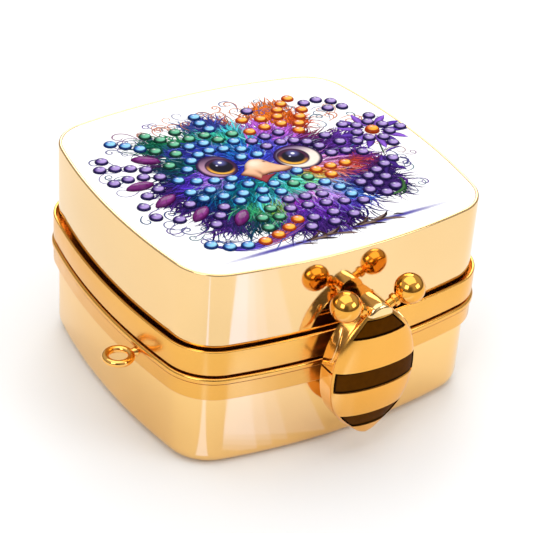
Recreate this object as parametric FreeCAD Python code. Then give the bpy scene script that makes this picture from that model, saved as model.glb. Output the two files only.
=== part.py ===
import FreeCAD, Part
import math
import os

# Pill box: two bowed square shells, each closed by a proud band frame, joined by a
# barrel hinge at the rear. A bee-shaped clasp stands off the front. The lid carries
# a picture plate with stick-on gems. Millimetres; +Z up, -Y is the clasp side, and
# the origin is the middle of the flat bottom.

V = FreeCAD.Vector
MIDDLE = V(0, 0, 0)
X_AXIS = V(1, 0, 0)
Y_AXIS = V(0, 1, 0)
Z_AXIS = V(0, 0, 1)

# ---- driving dimensions -----------------------------------------------------------

half_width = 31.0
half_depth = 29.5
side_radius = 115.0          # the four sides bow outwards on this radius
corner_radius = 8.3
total_height = 37.85         # to the face of the picture plate

parting = 18.9               # height of the plane where the two halves meet
parting_gap = 0.4            # open line between the two frames
base_frame_bottom = 14.3
lid_frame_top = 23.85
frame_proud = 0.95           # the frames stand this far outside the shells
bead_proud = 0.3             # extra reach of the bead round the base frame's mouth
bead_height = 1.1
lip_thickness = 0.7          # the frames' turned-in lips, over the shells' rims

base_wall = 0.9
base_floor = 1.0
base_edge_round = 2.5
lid_wall = 0.7
lid_top = 0.85
lid_groove = 0.45            # dark groove between the lid shell and its frame
lid_groove_depth = 2.3
rim_width = 0.55             # gold rim round the picture plate
plate_thickness = 1.0

seat_thickness = 0.6         # inner lip that the lid closes over
seat_bottom = 14.5
seat_top = 20.2

tray_gap = 0.9               # tray wall to base shell wall
tray_wall = 1.0
tray_floor = 1.0
tray_top = 17.6
divider_thickness = 1.0
divider_top = 16.8
lining_thickness = 1.0

pin_radius = 0.6
pin_clearance = 0.05
pin_head_radius = 1.15
pin_head_length = 0.45
knuckle_radius = 1.5
knuckle_count = 5
knuckle_pitch = 3.6
knuckle_gap = 0.12
leaf_thickness = 0.8
leaf_reach = 4.2             # how far each leaf runs up or down its frame
hinge_y = half_depth + frame_proud + bead_proud + knuckle_radius + 0.15

eye_y = -12.2                # chain eyes, forward of the middle of each side
eye_z = 16.5
eye_reach = 34.75
eye_ring_radius = 2.575
eye_wire_radius = 0.475
eye_stub_radius = 0.6

clasp_x = 0.4                # the bee sits a touch right of the middle
clasp_back = -31.9           # flat back of the bee
clasp_front = -35.1          # where the side wall ends and the domed front starts
dome_flatness = 0.30         # dome depth over half width
bee_profile = (              # half width of the bee's body at each height
    (1.2, 5.0), (3.3, 6.7), (5.6, 8.9), (7.3, 11.8), (8.05, 15.5),
    (7.9, 19.6), (6.9, 23.2), (5.3, 26.0), (2.5, 28.7),
)
bee_tail_z = 4.5
stripe_heights = {           # enamel panels: lower edge, upper edge, margin at the sides
    "lower_stripe": (7.1, 10.1, 0.55),
    "middle_stripe": (15.5, 19.2, 0.35),
    "upper_stripe": (25.15, 28.0, 0.85),
}
enamel_floor = 0.4           # the panels' flat backs, in front of the side wall's edge
post_half_width = 2.0
rib_radius = 0.5             # locating rib across the lower lug
rib_clearance = 0.25
wing_proud = 0.4

head_radius = 2.4
head_z = 28.3
head_front = -36.3
antenna_reach = 6.2          # ball centres, either side of the bee's middle
antenna_y = -34.6
antenna_z = 31.2
ball_radius = 2.6
ball_flat = 2.2              # the back of each ball is cut flat this far from its centre
stem_radius = 0.8
collar_radius = 1.15
collar_length = 0.9

gem_radius = 1.2
gem_girdle = 0.3
gem_height = 0.8
gem_table = 0.7              # radius of the flat on top
flower_gem_scale = 1.15
marquise_length = 5.2
marquise_width = 2.3
marquise_height = 0.7

# Rows of round gems on the picture plate: start x, y, end x, y, bulge to the left of
# the way from start to end, and how many gems share the row.
gem_rows = {
    "blue_gems": (
        (-20.9, 17.9, -17.0, 14.3, 0.2, 3),
        (-2.7, 20.6, -2.5, 15.6, -0.4, 3),
        (-8.9, 11.4, -6.0, 11.4, 0.0, 2),
        (-13.1, 4.4, -1.1, 6.8, 3.0, 6),
        (-0.8, 9.8, -0.8, 9.8, 0.0, 1),
        (-2.6, 4.3, 0.5, 4.0, 0.0, 2),
        (-16.3, 1.8, -7.8, -1.5, -0.5, 4),
        (-16.4, -2.6, -6.2, -4.3, -0.1, 4),
        (-15.4, -5.3, -5.1, -7.1, -0.1, 4),
        (-2.2, -6.0, 3.7, -3.9, 0.2, 3),
        (-10.3, -8.5, -2.5, -8.8, -1.1, 3),
        (6.0, -9.2, 7.9, -14.5, 0.5, 3),
        (-21.5, -18.4, -16.2, -21.0, -0.5, 3),
    ),
    "green_gems": (
        (-14.1, 17.9, -10.9, 13.2, 0.3, 3),
        (-8.6, 17.1, -7.5, 13.9, 0.0, 2),
        (-4.4, 13.9, -3.0, 11.5, 0.0, 2),
        (0.3, 12.3, 0.3, 12.3, 0.0, 1),
        (-15.0, 12.4, -12.2, 10.1, 0.0, 2),
        (-15.2, 6.9, -15.2, 6.9, 0.0, 1),
        (0.9, -7.3, 4.3, -6.5, 0.0, 2),
        (-7.0, -12.8, -7.0, -15.6, 0.0, 2),
        (-9.8, -14.8, -10.4, -17.8, 0.0, 2),
    ),
    "orange_gems": (
        (16.5, 19.8, 10.3, 12.0, -1.3, 5),
        (4.5, 16.0, 7.8, 15.0, 0.0, 2),
        (3.6, 11.7, 6.9, 12.1, 0.0, 2),
        (16.6, 15.0, 11.9, 8.5, -0.2, 4),
        (7.0, -4.9, 12.9, -5.0, 0.1, 3),
        (8.5, -7.4, 8.5, -7.4, 0.0, 1),
        (-13.0, -21.1, -4.7, -17.6, -0.5, 4),
    ),
    "purple_gems": (
        (-25.0, 13.1, -25.0, 13.1, 0.0, 1),
        (-26.6, 10.6, -19.5, 7.4, 0.5, 4),
        (-26.5, 5.5, -18.5, 4.2, 0.8, 4),
        (-23.4, -0.5, -20.7, 0.7, 0.0, 2),
        (-25.6, -3.4, -25.3, -7.1, 0.0, 2),
        (-22.2, -9.4, -18.4, -5.9, 0.0, 2),
        (-13.7, -9.1, -17.6, -13.3, 0.0, 3),
        (2.1, 8.5, 8.1, 9.3, 0.1, 3),
        (3.5, 5.8, 12.6, -1.0, 3.2, 6),
        (15.1, 4.9, 15.4, -1.4, 1.0, 3),
        (17.9, -3.0, 17.9, -3.0, 0.0, 1),
        (7.1, 18.6, 7.1, 18.6, 0.0, 1),
        (18.3, 17.0, 23.3, 15.6, 0.9, 3),
        (21.3, 13.5, 24.1, 13.0, 0.0, 2),
        (21.4, -7.2, 11.5, -11.9, -0.1, 5),
        (16.5, -12.1, 11.5, -14.7, 0.0, 3),
        (16.3, -15.4, 13.7, -16.6, 0.0, 2),
        (3.0, -9.4, 3.0, -9.4, 0.0, 1),
        (-2.7, -11.5, 3.4, -12.4, 0.1, 3),
        (-4.0, -14.2, 8.6, -17.1, 0.6, 5),
        (-2.0, -18.3, 1.9, -18.2, 0.0, 2),
        (-3.9, -20.6, 4.7, -20.1, -0.5, 3),
    ),
}
flower_x = 24.0              # flower of gems at the right of the picture
flower_y = 3.0
flower_rings = ((3.1, 7, 20.0), (5.5, 5, 62.0))   # ring radius, gems, first angle
marquise_spots = (           # x, y and turn of each marquise gem, a fan of small leaves
    (-18.0, 10.2, -34.0),
    (-23.0, 2.8, 0.0),
    (-21.4, -3.2, 26.0),
    (-18.2, -9.3, 38.0),
    (-12.7, -13.2, 47.0),
)

# ---- the plan outline --------------------------------------------------------------


def corner_centre():
    """Centre of the back right corner's arc, tangent to the right and back side arcs."""
    side_x = half_width - side_radius
    side_y = half_depth - side_radius
    gap = math.hypot(side_x, side_y)
    rise = math.sqrt((side_radius - corner_radius) ** 2 - (gap / 2) ** 2)
    return V(side_x / 2 - side_y / gap * rise, side_y / 2 - side_x / gap * rise, 0)


def quarter_edges(grow, sign_x, sign_y):
    """Half side, corner and half side of one quarter of the outline, grown outwards."""
    centre = corner_centre()
    to_side = (centre - V(half_width - side_radius, 0, 0)).normalize()
    to_back = (centre - V(0, half_depth - side_radius, 0)).normalize()
    bisector = (to_side + to_back).normalize()
    reach = corner_radius + grow
    first = centre + to_side * reach
    second = centre + to_back * reach
    side_mid = V(half_width - side_radius, 0, 0)
    back_mid = V(0, half_depth - side_radius, 0)
    half_turn_side = (to_side + X_AXIS).normalize()
    half_turn_back = (to_back + Y_AXIS).normalize()
    big = side_radius + grow
    arcs = (
        (V(half_width + grow, 0, 0), side_mid + half_turn_side * big, first),
        (first, centre + bisector * reach, second),
        (second, back_mid + half_turn_back * big, V(0, half_depth + grow, 0)),
    )
    edges = []
    for start, through, end in arcs:
        points = [V(p.x * sign_x, p.y * sign_y, 0) for p in (start, through, end)]
        edges.append(Part.Arc(*points).toShape())
    return edges


def slab(grow, bottom, top):
    """Solid of the plan outline, grown by an even margin, between two heights."""
    edges = []
    for sign_x, sign_y in ((1, 1), (-1, 1), (-1, -1), (1, -1)):
        edges += quarter_edges(grow, sign_x, sign_y)
    wire = Part.Wire(Part.__sortEdges__(edges))
    face = Part.Face(wire)
    face.translate(V(0, 0, bottom))
    return face.extrude(V(0, 0, top - bottom))


def level_edges(shape, height):
    """The edges of a shape that lie flat at one height."""
    found = []
    for edge in shape.Edges:
        box = edge.BoundBox
        if abs(box.ZMin - height) < 1e-4 and abs(box.ZMax - height) < 1e-4:
            found.append(edge)
    return found


def rounded_slab(grow, bottom, top, bottom_round=0.0, top_round=0.0):
    shape = slab(grow, bottom, top)
    if bottom_round:
        shape = shape.makeFillet(bottom_round, level_edges(shape, bottom))
    if top_round:
        shape = shape.makeFillet(top_round, level_edges(shape, top))
    return shape


def block(x0, x1, y0, y1, z0, z1):
    return Part.makeBox(x1 - x0, y1 - y0, z1 - z0, V(x0, y0, z0))


# ---- base --------------------------------------------------------------------------

frame_meet_low = parting - parting_gap / 2
frame_meet_high = parting + parting_gap / 2
base_rim = frame_meet_low - lip_thickness
lid_rim = frame_meet_high + lip_thickness


def base_shell():
    outer = rounded_slab(0, 0, base_rim, bottom_round=base_edge_round)
    inner_round = base_edge_round - base_wall
    hollow = rounded_slab(-base_wall, base_floor, base_rim + 1, bottom_round=inner_round)
    return outer.cut(hollow)


def base_frame():
    band = rounded_slab(frame_proud, base_frame_bottom, frame_meet_low, bottom_round=0.3)
    bead_bottom = frame_meet_low - bead_height
    bead = rounded_slab(frame_proud + bead_proud, bead_bottom, frame_meet_low, 0.45, 0.45)
    frame = band.fuse(bead)
    frame = frame.cut(slab(0, base_frame_bottom - 1, base_rim))
    return frame.cut(slab(-base_wall, base_rim - 1, frame_meet_low + 1))


def seating_lip():
    outer = rounded_slab(-base_wall, seat_bottom, seat_top, top_round=0.25)
    return outer.cut(slab(-base_wall - seat_thickness, seat_bottom - 1, seat_top + 1))


def pill_tray():
    grow = -base_wall - tray_gap
    outer = rounded_slab(grow, base_floor, tray_top, bottom_round=2.0)
    hollow_floor = base_floor + tray_floor
    hollow = rounded_slab(grow - tray_wall, hollow_floor, tray_top + 1, bottom_round=1.2)
    return outer.cut(hollow)


def tray_divider():
    """Cross-shaped divider that drops into the tray and makes four compartments."""
    half = divider_thickness / 2
    bottom = base_floor + tray_floor
    along = block(-half_width, half_width, -half, half, bottom, divider_top)
    across = block(-half, half, -half_depth, half_depth, bottom, divider_top)
    cross = along.fuse(across).removeSplitter()
    inside = rounded_slab(-base_wall - tray_gap - tray_wall, bottom, tray_top, 1.2)
    return cross.common(inside)


def chain_eye(side):
    """Ring lying flat beside the base frame, with the stub that joins it to the band."""
    centre = V(side * eye_reach, eye_y, eye_z)
    ring = Part.makeTorus(eye_ring_radius, eye_wire_radius, centre, Z_AXIS)
    stub_end = side * (eye_reach - eye_ring_radius)
    stub_start = side * (half_width - 1)
    stub = Part.makeCylinder(
        eye_stub_radius, abs(stub_end - stub_start), V(stub_start, eye_y, eye_z), X_AXIS * side)
    return ring.fuse(stub).cut(slab(frame_proud, base_frame_bottom, frame_meet_low))


# ---- lid ---------------------------------------------------------------------------


def lid_shell():
    outer = rounded_slab(0, lid_rim, total_height, top_round=0.3)
    ceiling = total_height - plate_thickness - lid_top
    hollow = slab(-lid_wall, lid_rim - 1, ceiling)
    recess = slab(-rim_width, total_height - plate_thickness, total_height + 1)
    return outer.cut(hollow).cut(recess)


def lid_frame():
    band = rounded_slab(frame_proud, frame_meet_high, lid_frame_top, 0.35, 0.2)
    frame = band.cut(slab(0, lid_rim, lid_frame_top + 1))
    frame = frame.cut(slab(-lid_wall, frame_meet_high - 1, lid_rim + 1))
    return frame.cut(slab(lid_groove, lid_frame_top - lid_groove_depth, lid_frame_top + 1))


def picture_plate():
    return slab(-rim_width, total_height - plate_thickness, total_height)


def lid_lining():
    ceiling = total_height - plate_thickness - lid_top
    return rounded_slab(-lid_wall - 0.4, ceiling - lining_thickness, ceiling, 0.4)


# ---- hinge -------------------------------------------------------------------------


def knuckle_span(index):
    """Start and end of one knuckle along the hinge."""
    start = (index - knuckle_count / 2) * knuckle_pitch
    return start + knuckle_gap / 2, start + knuckle_pitch - knuckle_gap / 2


def hinge_leaf(first_knuckle, up):
    """Leaf plate on one frame, with every second knuckle, bored for the pin."""
    half_length = knuckle_count * knuckle_pitch / 2
    front = half_depth - 0.5
    back = half_depth + frame_proud + bead_proud + leaf_thickness
    near = knuckle_radius + 0.25
    if up:
        leaf = block(-half_length, half_length, front, back, parting + near, parting + leaf_reach)
    else:
        leaf = block(-half_length, half_length, front, back, parting - leaf_reach, parting - near)
    for index in range(first_knuckle, knuckle_count, 2):
        start, end = knuckle_span(index)
        barrel = Part.makeCylinder(knuckle_radius, end - start, V(start, hinge_y, parting), X_AXIS)
        web_front = hinge_y - knuckle_radius
        if up:
            web = block(start, end, web_front, hinge_y, parting, parting + near + 1)
        else:
            web = block(start, end, web_front, hinge_y, parting - near - 1, parting)
        leaf = leaf.fuse(web).fuse(barrel)
    bore_radius = pin_radius + pin_clearance
    bore = Part.makeCylinder(bore_radius, 4 * half_length, V(-2 * half_length, hinge_y, parting), X_AXIS)
    return leaf.cut(bore).removeSplitter()


def base_hinge_leaf():
    return hinge_leaf(0, up=False).cut(base_frame()).cut(slab(0, 0, base_rim))


def lid_hinge_leaf():
    return hinge_leaf(1, up=True).cut(slab(frame_proud, lid_rim - 1, lid_frame_top + 1))


def hinge_pin():
    half_length = knuckle_count * knuckle_pitch / 2 + 0.05
    pin = Part.makeCylinder(pin_radius, 2 * half_length, V(-half_length, hinge_y, parting), X_AXIS)
    for side in (1, -1):
        base = V(side * half_length, hinge_y, parting)
        head = Part.makeCone(pin_head_radius, pin_radius, pin_head_length, base, X_AXIS * side)
        pin = pin.fuse(head)
    return pin.removeSplitter()


# ---- bee clasp ---------------------------------------------------------------------


def bee_half_curve(side, inset, y):
    """One side of the bee's outline, from the tail to the neck, in the plane at y."""
    points = [V(clasp_x, y, bee_tail_z + inset)]
    for half, height in bee_profile:
        points.append(V(clasp_x + side * max(half - inset, 0.3), y, height))
    curve = Part.BSplineCurve()
    curve.interpolate(points)
    return curve.toShape()


def bee_prism(inset, y_front, y_back):
    """Solid of the bee's outline between two planes facing the front."""
    right = bee_half_curve(1, inset, y_back)
    left = bee_half_curve(-1, inset, y_back)
    neck = Part.makeLine(right.Vertexes[-1].Point, left.Vertexes[-1].Point)
    face = Part.Face(Part.Wire(Part.__sortEdges__([right, neck, left])))
    return face.extrude(V(0, y_front - y_back, 0))


def bee_dome():
    """The outline turned about the bee's middle line, then flattened from front to back."""
    side = bee_half_curve(1, 0, 0)
    top = side.Vertexes[-1].Point
    tail = side.Vertexes[0].Point
    neck = Part.makeLine(top, V(clasp_x, 0, top.z))
    spine = Part.makeLine(V(clasp_x, 0, top.z), tail)
    face = Part.Face(Part.Wire([side, neck, spine]))
    whole = face.revolve(V(clasp_x, 0, 0), Z_AXIS, 360)
    squash = FreeCAD.Matrix()
    squash.scale(V(1, dome_flatness, 1))
    flat = whole.transformGeometry(squash)
    flat.translate(V(0, clasp_front, 0))
    return flat.common(block(-20, 20, clasp_front - 10, clasp_front, 0, total_height))


def bee_half_width(height):
    """Half width of the bee's body, read from the profile between its two nearest points."""
    for (half, low), (next_half, high) in zip(bee_profile, bee_profile[1:]):
        if low <= height <= high:
            return half + (next_half - half) * (height - low) / (high - low)
    return 0


def enamel_pocket(name):
    """Straight-sided cutter for one enamel panel, from its flat back out past the dome."""
    low, high, margin = stripe_heights[name]
    low_half = bee_half_width(low) - margin
    high_half = bee_half_width(high) - margin
    y = clasp_front - enamel_floor
    corners = [V(clasp_x - low_half, y, low), V(clasp_x + low_half, y, low),
               V(clasp_x + high_half, y, high), V(clasp_x - high_half, y, high)]
    face = Part.Face(Part.makePolygon(corners + corners[:1]))
    return face.extrude(V(0, -10, 0))


def enamel_panel(name):
    return bee_dome().common(enamel_pocket(name))


def bee_body():
    body = bee_dome()
    for name in stripe_heights:
        body = body.cut(enamel_pocket(name))
    return body


def rib(radius):
    """Locating rib across the clasp, on the meeting plane."""
    middle_y = (clasp_back + clasp_front) / 2
    reach = 6.5
    return Part.makeCylinder(
        radius, 2 * reach, V(clasp_x - reach, middle_y, frame_meet_low), X_AXIS)


def upper_clasp_lug():
    lug = bee_prism(0, clasp_front, clasp_back)
    lug = lug.common(block(-20, 20, -40, -25, frame_meet_high, total_height))
    lug = lug.cut(rib(rib_radius + rib_clearance))
    post = block(clasp_x - post_half_width, clasp_x + post_half_width,
                 clasp_back - 0.5, -half_depth, lid_rim, lid_frame_top - 0.6)
    return lug.fuse(post).cut(slab(frame_proud, lid_rim - 1, lid_frame_top)).removeSplitter()


def lower_clasp_lug():
    lug = bee_prism(0, clasp_front, clasp_back)
    lug = lug.common(block(-20, 20, -40, -25, 0, frame_meet_low))
    lug = lug.fuse(rib(rib_radius))
    post = block(clasp_x - post_half_width, clasp_x + post_half_width,
                 clasp_back - 0.5, -half_depth, base_frame_bottom + 0.4, base_rim)
    return lug.fuse(post).cut(base_frame()).cut(slab(0, 0, base_rim)).removeSplitter()


def bee_head():
    """Short round barrel rising behind the neck, from the back plane to the front."""
    length = clasp_back - head_front
    head = Part.makeCylinder(head_radius, length, V(clasp_x, head_front, head_z), Y_AXIS)
    front_edges = [e for e in head.Edges if e.BoundBox.YMax < head_front + 1e-4]
    head = head.makeFillet(0.9, front_edges)
    return head.cut(bee_prism(0, head_front - 1, clasp_back))


def antenna(side):
    """Ball with a flat back, on a stem with a collar, leaning out from the head."""
    centre = V(clasp_x + side * antenna_reach, antenna_y, antenna_z)
    root = V(clasp_x, antenna_y, head_z)
    way = (centre - root).normalize()
    ball = Part.makeSphere(ball_radius, centre)
    back = antenna_y + ball_flat
    ball = ball.cut(block(-20, 20, back, back + 10, 0, 60))
    stem_length = (centre - root).Length
    stem = Part.makeCylinder(stem_radius, stem_length, root, way)
    collar_start = root + way * (stem_length - ball_radius - collar_length - 0.1)
    collar = Part.makeCylinder(collar_radius, collar_length, collar_start, way)
    shape = ball.fuse(stem).fuse(collar)
    shape = shape.cut(Part.makeCylinder(head_radius, 10, V(clasp_x, -40, head_z), Y_AXIS))
    return shape.cut(bee_prism(0, clasp_front - 5, clasp_back)).removeSplitter()


def wings():
    """A small leaf-shaped wing lying on each side of the upper lug."""
    low = V(0, -34.3, 20.6)
    high = V(0, -32.9, 26.2)
    bow = V(0, 0.95, 0.25)
    middle = (low + high) / 2
    outline = [Part.Arc(low, middle + bow, high).toShape(), Part.Arc(high, middle - bow, low).toShape()]
    leaf = Part.Face(Part.Wire(outline))
    leaf.translate(V(-15, 0, 0))
    across = leaf.extrude(V(30, 0, 0))
    skin = bee_prism(-wing_proud, clasp_front, clasp_back).cut(bee_prism(0, clasp_front - 1, clasp_back + 1))
    return across.common(skin)


# ---- gems --------------------------------------------------------------------------


def round_gem(scale=1.0):
    """Flat-backed round gem: a short girdle under a sloping crown."""
    radius = gem_radius * scale
    girdle = Part.makeCylinder(radius, gem_girdle)
    crown = Part.makeCone(radius, gem_table * scale, gem_height - gem_girdle, V(0, 0, gem_girdle))
    return girdle.fuse(crown).removeSplitter()


def row_spots(x0, y0, x1, y1, bulge, count):
    """Even places along a shallow bow from one end of a row to the other."""
    if count == 1:
        return [(x0, y0)]
    length = math.hypot(x1 - x0, y1 - y0)
    left_x = -(y1 - y0) / length
    left_y = (x1 - x0) / length
    spots = []
    for index in range(count):
        along = index / (count - 1)
        lift = bulge * 4 * along * (1 - along)
        spots.append((x0 + (x1 - x0) * along + left_x * lift,
                      y0 + (y1 - y0) * along + left_y * lift))
    return spots


def flower_spots():
    spots = []
    for radius, count, first in flower_rings:
        for index in range(count):
            angle = math.radians(first + index * 360 / count)
            spots.append((flower_x + radius * math.cos(angle), flower_y + radius * math.sin(angle)))
    return spots


def gem_group(name):
    spots = []
    for row in gem_rows[name]:
        spots += row_spots(*row)
    if name == "purple_gems":
        spots += flower_spots()
    gem = round_gem()
    return Part.makeCompound([gem.translated(V(x, y, total_height)) for x, y in spots])


def flower_gem():
    return round_gem(flower_gem_scale).translated(V(flower_x, flower_y, total_height))


def marquise_gems():
    half = marquise_length / 2
    bow = marquise_width / 2
    left = V(-half, 0, 0)
    right = V(half, 0, 0)
    edges = [Part.Arc(left, V(0, bow, 0), right).toShape(), Part.Arc(right, V(0, -bow, 0), left).toShape()]
    gem = Part.Face(Part.Wire(edges)).extrude(V(0, 0, marquise_height))
    gem = gem.makeChamfer(0.35, level_edges(gem, marquise_height))
    gems = []
    for x, y, turn in marquise_spots:
        one = gem.copy()
        one.rotate(MIDDLE, Z_AXIS, turn)
        gems.append(one.translated(V(x, y, total_height)))
    return Part.makeCompound(gems)


# ---- write every piece -------------------------------------------------------------

pieces = {
    "base_shell": base_shell(),
    "base_frame": base_frame(),
    "seating_lip": seating_lip(),
    "pill_tray": pill_tray(),
    "tray_divider": tray_divider(),
    "left_chain_eye": chain_eye(-1),
    "right_chain_eye": chain_eye(1),
    "base_hinge_leaf": base_hinge_leaf(),
    "hinge_pin": hinge_pin(),
    "lower_clasp_lug": lower_clasp_lug(),
    "lid_shell": lid_shell(),
    "lid_frame": lid_frame(),
    "lid_lining": lid_lining(),
    "lid_hinge_leaf": lid_hinge_leaf(),
    "upper_clasp_lug": upper_clasp_lug(),
    "bee_body": bee_body(),
    "bee_head": bee_head(),
    "left_antenna": antenna(-1),
    "right_antenna": antenna(1),
    "wings": wings(),
    "picture_plate": picture_plate(),
    "flower_gem": flower_gem(),
    "marquise_gems": marquise_gems(),
}
for panel_name in stripe_heights:
    pieces[panel_name] = enamel_panel(panel_name)
for group_name in gem_rows:
    pieces[group_name] = gem_group(group_name)

os.makedirs("parts", exist_ok=True)
for name, shape in pieces.items():
    shape.exportStep("parts/" + name + ".step")
    box = shape.BoundBox
    print(f"{name:18s} solids {len(shape.Solids):3d} valid {shape.isValid()} volume {shape.Volume:9.2f}"
          f" z {box.ZMin:6.2f} {box.ZMax:6.2f} y {box.YMin:7.2f} {box.YMax:7.2f}")
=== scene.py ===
import math
import bmesh
import bpy
import numpy as np
from mathutils import Matrix, Vector


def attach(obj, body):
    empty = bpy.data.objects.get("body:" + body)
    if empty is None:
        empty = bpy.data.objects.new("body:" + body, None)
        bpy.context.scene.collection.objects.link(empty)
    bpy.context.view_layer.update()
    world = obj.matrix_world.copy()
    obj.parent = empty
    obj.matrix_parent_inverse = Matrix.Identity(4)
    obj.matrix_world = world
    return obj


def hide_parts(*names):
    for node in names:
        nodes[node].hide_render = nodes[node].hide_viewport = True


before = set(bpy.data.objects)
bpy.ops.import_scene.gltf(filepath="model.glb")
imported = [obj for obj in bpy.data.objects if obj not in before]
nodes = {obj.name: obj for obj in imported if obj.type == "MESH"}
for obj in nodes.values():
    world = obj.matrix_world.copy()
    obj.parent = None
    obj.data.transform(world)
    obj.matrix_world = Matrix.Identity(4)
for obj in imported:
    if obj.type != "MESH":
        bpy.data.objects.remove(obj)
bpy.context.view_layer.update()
mm = 0.001

camera = dict(azimuth=-33.44, elevation=32.39, roll=4.0, lens=120.1,
              aim=(0.6 * mm, -1.3 * mm, 17.9 * mm), distance=315.4 * mm)


def addCamera():
    # place = aim + distance * back; right and up are then turned by the roll about the line of sight
    az, el = math.radians(camera["azimuth"]), math.radians(camera["elevation"])
    back = Vector((math.sin(az) * math.cos(el), -math.cos(az) * math.cos(el), math.sin(el)))
    right = Vector((math.cos(az), math.sin(az), 0))
    up = back.cross(right)
    roll = math.radians(camera["roll"])
    turnedRight = right * math.cos(roll) + up * math.sin(roll)
    turnedUp = up * math.cos(roll) - right * math.sin(roll)
    data = bpy.data.cameras.new("camera")
    data.lens = camera["lens"]
    data.sensor_width = 36
    data.clip_start = 0.01
    obj = bpy.data.objects.new("camera", data)
    axes = Matrix((turnedRight, turnedUp, back)).transposed().to_4x4()
    obj.matrix_world = Matrix.Translation(Vector(camera["aim"]) + back * camera["distance"]) @ axes
    bpy.context.collection.objects.link(obj)
    bpy.context.scene.camera = obj


studio = dict(
    floorSize=3.0, floorDrop=0.02 * mm, floorColor=(0.94, 0.965, 0.99), floorRoughness=0.75,
    worldHigh=(1.0, 0.99, 0.98), worldLow=(0.34, 0.30, 0.26), worldBand=(0.10, 0.42), worldStrength=0.55,
    dimPatch=(-0.50, -0.76, 0.42), dimFrom=0.90, dimTo=0.985, dimLevel=0.28,
    lights=(   # name, place, aimed at, width, height, power
        ("overhead", (0.0, 0.05, 0.75), (0, 0, 0), 0.9, 0.9, 3.4),
        ("leftKey", (-0.70, -0.35, 0.55), (0, 0, 0.02), 0.40, 0.40, 1.8),
        ("frontFill", (0.50, -0.72, 0.54), (0, 0, 0.02), 0.50, 0.38, 2.1),
        ("backFill", (0.50, 0.76, 0.60), (0, 0, 0.02), 0.55, 0.40, 2.3),
    ))
glowColor = (0.12, 0.30, 1.20)
cornerGlow = dict(edge=(-22.7 * mm, -27.2 * mm), heading=-81.8, far=90 * mm, steps=(
    # nearest, width, height, power: wider strips lie higher, so that their light adds up towards one edge
    (6 * mm, 19 * mm, 1.3 * mm, 0.00145),
    (5 * mm, 12 * mm, 1.0 * mm, 0.00080),
    (4 * mm, 9 * mm, 0.7 * mm, 0.00061),
    (3 * mm, 6.3 * mm, 0.4 * mm, 0.00065)))
cornerLine = dict(edge=(-27.0 * mm, -24.9 * mm), heading=-130.5, far=90 * mm, steps=(
    (1 * mm, 3 * mm, 0.4 * mm, 0.0008),))


def areaLight(name, width, height, power):
    # rectangle of width by height that gives its power downwards until it is turned
    data = bpy.data.lights.new(name, "AREA")
    data.shape = "RECTANGLE"
    data.size, data.size_y = width, height
    data.energy = power
    light = bpy.data.objects.new(name, data)
    bpy.context.collection.objects.link(light)
    return light


def addGlow(name, glow):
    # low lights that face up: left edge on one line, centre = edge + half width to the right of the heading
    turn = math.radians(glow["heading"])
    ahead, right = Vector((math.cos(turn), math.sin(turn), 0)), Vector((-math.sin(turn), math.cos(turn), 0))
    for number, (near, width, height, power) in enumerate(glow["steps"]):
        light = areaLight(name + str(number), glow["far"] - near, width, power)
        light.data.color = glowColor
        foot = Vector((*glow["edge"], height)) + right * width / 2
        light.location = foot + ahead * (near + glow["far"]) / 2
        light.rotation_euler = (math.pi, 0, turn)
        light.visible_camera = False


def addLight(name, place, target, width, height, power):
    # turned so that its face points from its place to the target
    light = areaLight(name, width, height, power)
    light.location = place
    light.rotation_euler = (Vector(target) - Vector(place)).to_track_quat("-Z", "Y").to_euler()


def addFloor():
    # one square of the floor size, just under the object
    half = studio["floorSize"] / 2
    mesh = bpy.data.meshes.new("floor")
    corners = [(-half, -half, 0), (half, -half, 0), (half, half, 0), (-half, half, 0)]
    mesh.from_pydata(corners, [], [(0, 1, 2, 3)])
    floor = bpy.data.objects.new("floor", mesh)
    bpy.context.collection.objects.link(floor)
    floor.location.z = -studio["floorDrop"]
    paint = bpy.data.materials.new("floorPaint")
    paint.use_nodes = True
    shader = paint.node_tree.nodes["Principled BSDF"]
    shader.inputs["Base Color"].default_value = (*studio["floorColor"], 1)
    shader.inputs["Roughness"].default_value = studio["floorRoughness"]
    mesh.materials.append(paint)


def mapRange(tree, source, target):
    # result = target low + share of the way through the source range * target width
    node = tree.nodes.new("ShaderNodeMapRange")
    node.inputs["From Min"].default_value, node.inputs["From Max"].default_value = source
    node.inputs["To Min"].default_value, node.inputs["To Max"].default_value = target
    return node


def addWorld():
    # light = tone by height, from low to high, times a dim patch round one heading
    world = bpy.data.worlds.new("studio")
    bpy.context.scene.world = world
    world.use_nodes = True
    tree = world.node_tree
    coords = tree.nodes.new("ShaderNodeTexCoord")
    split = tree.nodes.new("ShaderNodeSeparateXYZ")
    tone = tree.nodes.new("ShaderNodeValToRGB")
    for element, position, color in zip(tone.color_ramp.elements, studio["worldBand"],
                                        (studio["worldLow"], studio["worldHigh"])):
        element.position = position
        element.color = (*color, 1)
    tree.links.new(coords.outputs["Generated"], split.inputs[0])
    tree.links.new(split.outputs["Z"], tone.inputs["Fac"])
    toward = tree.nodes.new("ShaderNodeVectorMath")   # the dim patch gives polished beads their dark spot
    toward.operation = "DOT_PRODUCT"
    toward.inputs[1].default_value = studio["dimPatch"]
    patch = mapRange(tree, (studio["dimFrom"], studio["dimTo"]), (1.0, studio["dimLevel"]))
    shade = tree.nodes.new("ShaderNodeVectorMath")
    shade.operation = "SCALE"
    tree.links.new(coords.outputs["Generated"], toward.inputs[0])
    tree.links.new(toward.outputs["Value"], patch.inputs["Value"])
    tree.links.new(tone.outputs["Color"], shade.inputs[0])
    tree.links.new(patch.outputs["Result"], shade.inputs["Scale"])
    tree.links.new(shade.outputs["Vector"], tree.nodes["Background"].inputs["Color"])
    tree.nodes["Background"].inputs["Strength"].default_value = studio["worldStrength"]


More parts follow.
